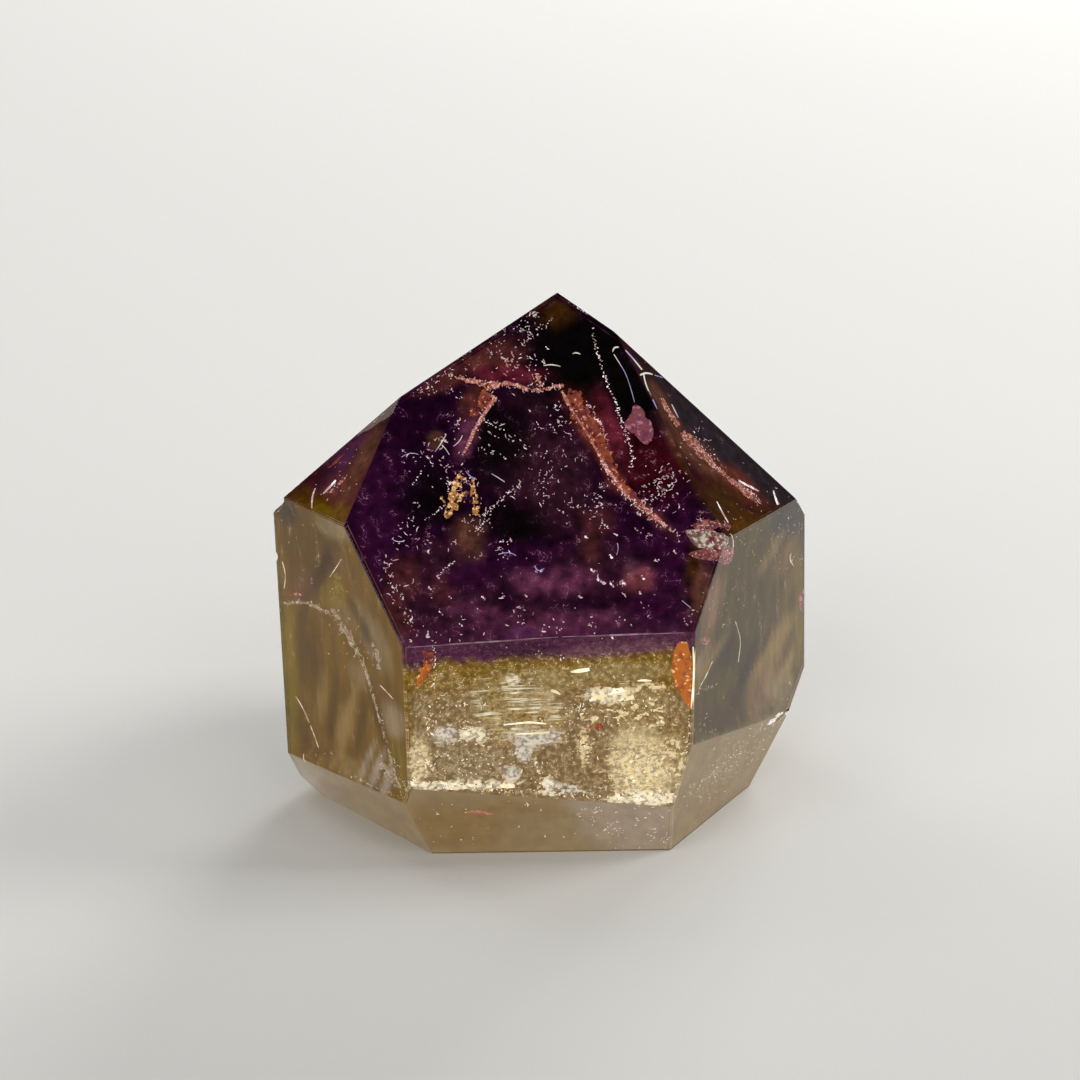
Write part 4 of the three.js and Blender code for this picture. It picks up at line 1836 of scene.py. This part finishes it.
class SideRegion(Region):
    """Under the left and right side faces: olive veils, pale streaks, healed fractures and curls."""

    def veils(self) -> tuple[tuple[Face, Veil], ...]:
        """Returns the veil of each face."""
        left = Veil(
            "veil_left", Hue.OLIVE,
            VeilFinish(
                "left_veil", mottle_mm=1.3, contrast=0.26, stretch=(1.0, 1.0, 0.35), turn=(0.0, 12.0, 0.0),
                wisp_mm=0.6, wisp_from=0.56, wisp=(0.36, 0.28, 0.16),
            ),
            (*LEFT_STAINS,), deep_mm=2.0, rise=26, seed=41.0,
        )
        right = Veil(
            "veil_right", Hue.UMBRA,
            VeilFinish(
                "right_veil", mottle_mm=1.2, contrast=0.3, stretch=(1.0, 1.0, 0.4), turn=(0.0, 30.0, 0.0),
                wisp_mm=0.6, wisp_from=0.56, wisp=(0.30, 0.23, 0.14),
            ),
            (*RIGHT_STAINS, Wash((800, 706), (690, 752), Hue.SMOKE, 10, 0.9),), deep_mm=2.0, rise=26,
            seed=42.0,
        )
        return (Face.LEFT, left), (Face.RIGHT, right)

    def growths(self) -> tuple[Growth, ...]:
        """Returns the healed fractures, the moss, and the fine bright curves and crumbs."""
        even = {"depth_mm": (0.5, 0.9), "crumple_mm": 0.2}
        healed = Growth("healed_left", CrustFinish(
            "healed", Hue.TAN, Hue.SMOKE, Hue.PALE_SMOKE, 0.6, 0.2, (0.62, 0.54, 0.44), 0.58), (
            *under(
                Face.LEFT,
                Vein(
                ((331, 604, 6), (340, 622, 12), (349, 638, 10), (358, 652, 7), (366, 672, 5), (374, 700, 3),
                 (384, 735, 3), (394, 770, 4), (402, 795, 6)),
                ragged=0.9, holes=-0.25, seed=43.0, **even,
            ),
                Vein(((372, 640, 5), (376, 655, 10), (380, 672, 5)), ragged=1.1, seed=44.0, **even),
                Vein(((380, 760, 8), (388, 775, 14), (398, 790, 10)), ragged=1.1, seed=45.0, **even),
                Vein(((284, 604, 4), (304, 602, 5), (322, 609, 6)), (0.4, 0.5), ragged=1.1, seed=48.0),
            ),
        ))
        moss = Growth(
            "moss", CrustFinish("moss", Hue.OLIVE, Hue.MOSS, Hue.MOSS, 0.4, 0.2, (0.34, 0.28, 0.06), 0.58),
            ((
                Face.LEFT,
                Vein(((334, 572, 8), (338, 586, 15), (337, 600, 9)), (0.5, 0.6), ragged=1.1, seed=46.0),
            ),),
        )
        fine = {"depth_mm": (0.25, 0.3), "crumple_mm": 0.05, "ragged": 0.0, "cell": 1.5}
        sparkle = Growth(
            "sparkle_sides", GlintFinish("glint_sides", (0.74, 0.66, 0.56), (0.36, 0.27, 0.17)),
            (
                *((Face.LEFT, Vein(path, **fine)) for path in SIDE_GROWTHS_LEFT),
                *((Face.RIGHT, Vein(path, **fine)) for path in SIDE_GROWTHS_RIGHT),
                (Face.LEFT, Flecks(
                    (
                        (340, 590, 16, 16), (300, 545, 30, 6), (318, 560, 8, 6), (345, 630, 18, 26),
                        (352, 655, 14, 10), (376, 656, 10, 10), (388, 775, 18, 20), (408, 784, 6, 26),
                        (405, 792, 6, 12), (320, 760, 30, 8),
                    ),
                    (
                        (90, 1.3, ((283, 604), (300, 602), (310, 603), (322, 610), (332, 616))),
                        (30, 1.0, ((362, 658), (376, 700), (388, 745))),
                        (90, 1.5, ((324, 769), (350, 778), (376, 788), (404, 799))),
                        (20, 1.0, ((390, 750), (398, 775), (402, 795))),
                    ),
                    (0.08, 0.4), (0.035, 0.09), (0.2, 0.7), seed=47,
                )),
                (Face.RIGHT, Flecks(
                    (
                        (768, 535, 26, 24), (790, 530, 18, 20), (745, 565, 40, 22), (712, 610, 20, 16),
                        (798, 560, 8, 18), (790, 682, 5, 8), (730, 600, 50, 10), (705, 730, 14, 20),
                        (775, 712, 16, 24),
                    ),
                    (
                        (30, 1.4, ((692, 700), (700, 690), (716, 684))),
                        (40, 1.5, ((694, 752), (730, 738), (780, 716))),
                    ),
                    (0.08, 0.4), (0.035, 0.09), (0.2, 0.7), seed=51,
                )),
            ),
        )
        pink = Growth(
            "crust_pink", CrustFinish("side_pink", Hue.SEPIA, Hue.RUST, Hue.SALMON, 0.5, 0.2),
            (*under(
                Face.LEFT,
                Vein(
                    ((284, 600, 3), (296, 592, 5), (306, 598, 3)), (0.4, 0.5), ragged=1.2, holes=-0.1,
                    seed=49.0,
                ),
                Vein(
                    ((318, 606, 4), (326, 610, 7), (332, 616, 4)), (0.4, 0.5), ragged=1.2, holes=-0.1,
                    seed=50.0,
                ),
                Vein(
                    ((310, 566, 2), (312, 578, 4), (311, 588, 2)), (0.4, 0.5), ragged=1.2, holes=0.0,
                    seed=52.0,
                ),
            ),),
        )
        return healed, moss, pink, sparkle


FRONT_BEVEL_STAINS = patches(
    (450, 828, 60, 22, Hue.WARM_SMOKE, 0.95), (640, 825, 50, 30, Hue.PALE_SMOKE, 0.95),
    (520, 808, 60, 6, Hue.WARM_SMOKE, 0.6, 4), (590, 806, 26, 8, Hue.PALE_SMOKE, 0.8),
)

FOOT_GROWTHS_FRONT = (
    (590, 812, 12, 26), (612, 832, 12, 30), (652, 812, 20, 24), (665, 838, 16, 26), (450, 835, 40, 14),
    (540, 828, 70, 20), (525, 803, 6, 8), (437, 809, 6, 6), (640, 845, 40, 16),
)

FOOT_GROWTHS_RIGHT = (
    (700, 790, 16, 40), (715, 778, 16, 40), (728, 764, 16, 40), (742, 750, 16, 34), (756, 738, 14, 26),
    (700, 815, 20, 14), (740, 785, 30, 14), (775, 719, 10, 30),
)

class FootRegion(Region):
    """Under the three bevels round the foot that face the viewer: pale smoke and bright flecks."""

    def veils(self) -> tuple[tuple[Face, Veil], ...]:
        """Returns the veil of each bevel."""
        soft = {
            "contrast": 0.12, "mottle_mm": 1.6, "clear": True, "wisp_from": 0.66, "wisp": (0.45, 0.38, 0.30),
        }
        front = Veil(
            "veil_front_bevel", Hue.SMOKE, VeilFinish("front_bevel_veil", **soft), (*FRONT_BEVEL_STAINS,),
            cover=0.9, deep_mm=1.3, rise=16, seed=51.0,
        )
        left = Veil(
            "veil_left_bevel", Hue.SMOKE, VeilFinish("left_bevel_veil", **soft),
            (
                Stain((320, 785), (26, 14), Hue.PALE_SMOKE, 0.5),
                Stain((390, 825), (26, 10), Hue.WARM_SMOKE, 0.5),
            ),
            cover=0.9, deep_mm=1.3, rise=12, seed=52.0,
        )
        right = Veil(
            "veil_right_bevel", Hue.SMOKE, VeilFinish("right_bevel_veil", **soft),
            (Stain((720, 800), (40, 20), Hue.SMOKE, 0.5),), cover=0.9, deep_mm=1.3, rise=16, seed=53.0,
        )
        return (Face.FRONT_BEVEL, front), (Face.LEFT_BEVEL, left), (Face.RIGHT_BEVEL, right)

    def growths(self) -> tuple[Growth, ...]:
        """Returns the flecks under the bevels."""
        small = {"long_mm": (0.08, 0.4), "wide_mm": (0.035, 0.09), "depth_mm": (0.2, 0.8)}
        white = Growth("sparkle_foot", GlintFinish("glint_foot", (1.0, 0.96, 0.93), (0.50, 0.42, 0.34)), (
            (Face.FRONT_BEVEL, Flecks(FOOT_GROWTHS_FRONT, seed=51, **small)),
            *under(
                Face.RIGHT_BEVEL,
                Flecks(
                    FOOT_GROWTHS_RIGHT, ((60, 2.0, ((688, 792), (705, 778), (722, 764), (738, 750))),),
                    seed=54, **small,
                ),
                Vein(((765, 726, 2), (775, 719, 4), (785, 711, 3)), (0.3, 0.3), 0.05, ragged=0.7),
            ),
            (Face.LEFT_BEVEL, Flecks(((350, 800, 50, 24), (320, 780, 20, 10)), seed=55, **small)),
        ))
        warm = Growth("streak_foot", CrustFinish("foot_streak", Hue.AMBER, Hue.SALMON, Hue.SALMON, 0.5), ((
            Face.FRONT_BEVEL,
            Vein(((463, 812, 1.4), (478, 812, 3), (495, 814, 1.4)), (0.4, 0.4), 0.1, seed=55.0),
        ),))
        return white, warm


class HiddenRegion(Region):
    """Under the faces turned away from the viewer, where chance lays out the same kinds of growth."""

    POINTS = (Face.BACK_RIGHT_POINT, Face.BACK_POINT, Face.BACK_LEFT_POINT)
    SIDES = (Face.BACK_RIGHT, Face.BACK, Face.BACK_LEFT)
    BEVELS = (Face.BACK_RIGHT_BEVEL, Face.BACK_BEVEL, Face.BACK_LEFT_BEVEL)
    MIDDLE = 540.0
    STAIN_REACH = 190
    STRIDE = 26
    TAPER = (0.8, 1.0, 0.9, 0.6, 0.3)

    def chance(self, face: Face, use: int) -> random.Random:
        """Returns the source of chance for one use on a face."""
        return random.Random(100 * list(Face).index(face) + use)

    def scattered(
        self, face: Face, hues: tuple[Hue, ...], count: int, reach: Spot, long: float, lean: float,
    ) -> tuple[Stain, ...]:
        """Returns stains strewn over a face.

        Args:
            face: The face.
            hues: The colours to choose from.
            count: How many.
            reach: Their least and greatest half width, in frame pixels.
            long: How many times longer than wide they are.
            lean: Their greatest turn from level or from upright, in degrees.
        """
        dice = self.chance(face, 1)
        found = []
        for _ in range(count):
            spot = tuple(
                self.MIDDLE + dice.uniform(-self.STAIN_REACH, self.STAIN_REACH) for _ in range(2))
            wide = dice.uniform(*reach)
            turn = dice.uniform(-lean, lean)
            found.append(Stain(spot, (wide, wide * long), dice.choice(hues), dice.uniform(0.5, 1.0), turn))
        return tuple(found)

    def veils(self) -> tuple[tuple[Face, Veil], ...]:
        """Returns the veil of each hidden face."""
        made = []
        dark = (Hue.PLUM, Hue.MURK, Hue.WINE, Hue.VIOLET, Hue.MAROON, Hue.DARK_WINE, Hue.MAUVE, Hue.PLUM)
        ink = (Hue.INK, Hue.NIGHT)
        streaks = (
            Hue.STREAK, Hue.TAN, Hue.SMOKE, Hue.DARK_OLIVE, Hue.PEAT, Hue.STREAK, Hue.LILAC_GREY, Hue.MOSS,
        )
        smoke = (Hue.PALE_SMOKE, Hue.WARM_SMOKE)
        for step, face in enumerate(self.POINTS):
            stains = (
                *self.scattered(face, dark, 26, (16, 44), 1.0, 90),
                *self.scattered(face, ink, 5, (20, 36), 1.0, 90),
            )
            finish = VeilFinish(face.name.lower() + "_veil", mottle_mm=1.1, contrast=0.6)
            made.append((
                face,
                Veil("veil_" + face.name.lower(), Hue.NIGHT, finish, stains, deep_mm=1.8, seed=71.0 + step),
            ))
        for step, face in enumerate(self.SIDES):
            stains = self.scattered(face, streaks, 54, (5, 16), 4.5, 24)
            finish = VeilFinish(
                face.name.lower() + "_veil", mottle_mm=1.2, contrast=0.34, wisp_from=0.54,
                wisp=(0.36, 0.28, 0.16),
            )
            made.append((face, Veil(
                "veil_" + face.name.lower(), Hue.BARK, finish, stains, deep_mm=2.0, rise=26, seed=81.0 + step,
            )))
        for step, face in enumerate(self.BEVELS):
            stains = self.scattered(face, smoke, 8, (20, 50), 0.6, 30)
            finish = VeilFinish(
                face.name.lower() + "_veil", mottle_mm=1.6, contrast=0.12, clear=True, wisp_from=0.66,
                wisp=(0.45, 0.38, 0.30))
            made.append((face, Veil(
                "veil_" + face.name.lower(), Hue.SMOKE, finish, stains, cover=0.9, deep_mm=1.3, rise=14,
                seed=91.0 + step)))
        return tuple(made)

    def path(self, dice: random.Random, wide: float) -> tuple[tuple[float, float, float], ...]:
        """Returns a wandering line with its widths.

        Args:
            dice: The source of chance.
            wide: The greatest width, in frame pixels.
        """
        x, y = (self.MIDDLE + dice.uniform(-90, 20), self.MIDDLE + dice.uniform(-70, 40))
        heading = dice.uniform(-0.5, 1.1)
        steps = [(x, y, wide * 0.3)]
        for part in self.TAPER:
            heading += dice.gauss(0, 0.35)
            x, y = x + self.STRIDE * math.cos(heading), y + self.STRIDE * math.sin(heading)
            steps.append((x, y, wide * part))
        return tuple(steps)

    def swarms(
        self, dice: random.Random, count: int, across: Spot, down: Spot, wide: Spot, many: tuple[int, int],
    ) -> tuple[tuple[float, float, float, int], ...]:
        """Returns groups of flecks strewn over a face.

        Args:
            dice: The source of chance.
            count: How many groups.
            across: How far they reach to the left and right of the middle, in frame pixels.
            down: How far they reach above and below the middle, in frame pixels.
            wide: Their least and greatest width, in frame pixels.
            many: The least and greatest number of flecks in one.
        """
        return tuple((
            self.MIDDLE + dice.uniform(*across), self.MIDDLE + dice.uniform(*down), dice.uniform(*wide),
            dice.randint(*many),
        ) for _ in range(count))

    def growths(self) -> tuple[Growth, ...]:
        """Returns the veins and the curls under the hidden faces."""
        rust, rose, curls = [], [], []
        for face in self.POINTS:
            dice = self.chance(face, 2)
            for step in range(2):
                rust.append((face, Vein(
                    self.path(dice, 18), (0.8, 1.1), ragged=0.8, holes=-0.5, seed=60.0 + step)))
                rose.append((face, Vein(
                    self.path(dice, 8), (0.6, 0.8), 0.2, ragged=0.9, holes=-0.3, seed=64.0 + step)))
            swarms = self.swarms(dice, 30, (-170, 170), (-150, 130), (8, 22), (10, 34))
            curls.append((face, Flecks(
                swarms, (), (0.10, 0.5), (0.04, 0.09), tip=0.6, seed=dice.randint(1, 999))))
        for face in (*self.SIDES, *self.BEVELS):
            dice = self.chance(face, 3)
            swarms = self.swarms(dice, 9, (-150, 150), (-120, 120), (14, 36), (8, 24))
            curls.append((face, Flecks(
                swarms, (), (0.08, 0.4), (0.035, 0.09), (0.2, 0.7), seed=dice.randint(1, 999))))
        return (
            Growth(
                "vein_hidden_rust",
                CrustFinish(
                    "hidden_rust", Hue.RUST, Hue.RUST, Hue.EMBER, 1.3, 0.3, (0.85, 0.42, 0.26), 0.64,
                ),
                tuple(rust),
            ),
            Growth(
                "vein_hidden_rose",
                CrustFinish(
                    "hidden_rose", Hue.RUST, Hue.SALMON, Hue.SALMON, 0.5, 0.2, (0.80, 0.50, 0.42), 0.54,
                ),
                tuple(rose),
            ),
            # The hidden curls' white and glow are painted glints.
            Growth("curls_hidden", GlintFinish("hidden_curls"), tuple(curls)),
        )


# ---------------------------------------------------------------- the stage


@dataclass
class Stage:
    """The pale paper and the soft studio light."""

    rings_m: tuple[float, ...] = (0.1, 0.3, 0.6, 1.1)
    sweep_m: float = 0.45
    sweep_turn: float = math.radians(80)
    sweep_steps: int = 10
    sides: int = 96
    sky: Colour = (0.93, 0.95, 1.0)
    sky_strength: float = 0.05
    gap_mm: float = 0.05

    def paper(self) -> None:
        """Makes the floor, which sweeps up far away on every side."""
        shape = bmesh.new()
        first = shape.verts.new((0, 0, 0))
        chain = [first]
        for radius in self.rings_m:
            chain.append(shape.verts.new((radius, 0, 0)))
        for step in range(1, self.sweep_steps + 1):
            angle = self.sweep_turn * step / self.sweep_steps
            out = self.rings_m[-1] + self.sweep_m * math.sin(angle)
            chain.append(shape.verts.new((out, 0, self.sweep_m * (1 - math.cos(angle)))))
        edges = [shape.edges.new(pair) for pair in zip(chain, chain[1:])]
        bmesh.ops.spin(
            shape, geom=[*chain, *edges], cent=(0, 0, 0), axis=(0, 0, 1), angle=math.tau,
            steps=self.sides, use_merge=True,
        )
        bmesh.ops.remove_doubles(shape, verts=shape.verts, dist=1e-5)
        bmesh.ops.recalc_face_normals(shape, faces=shape.faces)
        mesh = bpy.data.meshes.new("paper")
        shape.to_mesh(mesh)
        shape.free()
        for polygon in mesh.polygons:
            polygon.use_smooth = True
        if mesh.polygons[0].normal.z < 0:
            mesh.flip_normals()
        mesh.materials.append(PaperFinish().material())
        made = bpy.data.objects.new("paper", mesh)
        made.location.z = -self.gap_mm * MM
        bpy.context.scene.collection.objects.link(made)

    def lamp(self, name: str, place: Sequence[float], size: float, power: float, colour: Colour) -> None:
        """Makes a soft square lamp that looks at the crystal.

        Args:
            name: The lamp's name.
            place: Its place, in metres.
            size: The side of the square, in metres.
            power: Its power, in watts.
            colour: Its colour.
        """
        data = bpy.data.lights.new(name, "AREA")
        data.size = size
        data.energy = power
        data.color = colour
        made = bpy.data.objects.new(name, data)
        made.location = place
        made.rotation_euler = (Vector((0, 0, 0.02)) - Vector(place)).to_track_quat("-Z", "Y").to_euler()
        bpy.context.scene.collection.objects.link(made)

    def light(self) -> None:
        """Makes the sky and the lamps."""
        world = bpy.data.worlds.new("sky")
        world.use_nodes = True
        back = world.node_tree.nodes["Background"]
        back.inputs["Color"].default_value = (*self.sky, 1.0)
        back.inputs["Strength"].default_value = self.sky_strength
        bpy.context.scene.world = world
        self.lamp("window", (-0.69, 0.84, 0.91), 0.60, 2.0, (1.0, 0.99, 0.97))
        self.lamp("overhead", (0.05, 0.50, 1.40), 1.5, 4.3, (1.0, 1.0, 1.0))
        self.lamp("side", (0.85, 0.10, 0.60), 0.50, 4.2, (1.0, 0.99, 0.97))
        self.lamp("back", (0.38, 0.95, 0.42), 0.45, 4.8, (1.0, 1.0, 1.0))
        self.lamp("front_left", (-0.75, -1.15, 0.75), 1.20, 9.0, (1.0, 0.99, 0.97))
        self.lamp("front_right", (0.85, -1.10, 0.75), 1.20, 7.0, (1.0, 0.99, 0.97))


def set_view() -> None:
    """Chooses plain colours for the view, and lets light through many thin films."""
    scene = bpy.context.scene
    scene.view_settings.view_transform = "Standard"
    scene.cycles.max_bounces = 6
    scene.cycles.transmission_bounces = 6
    scene.cycles.glossy_bounces = 2
    scene.cycles.diffuse_bounces = 1
    scene.cycles.transparent_max_bounces = 8


def main() -> None:
    """Builds the stage, the crystal and everything that grew inside it."""
    logging.basicConfig(level=logging.INFO, format="%(message)s")
    eye = Eye()
    eye.camera()
    stage = Stage()
    stage.paper()
    stage.light()
    set_view()
    crystal = Crystal()
    crystal.build(ClearFinish("quartz", Tint((0.60, 0.53, 0.42), 40.0)))
    sight = Sight(eye, crystal.sharp())
    regions = (TipRegion(), ShoulderRegion(), FrontRegion(), SideRegion(), FootRegion(), HiddenRegion())
    for region in regions:
        region.build(sight)


if __name__ == "__main__":
    main()
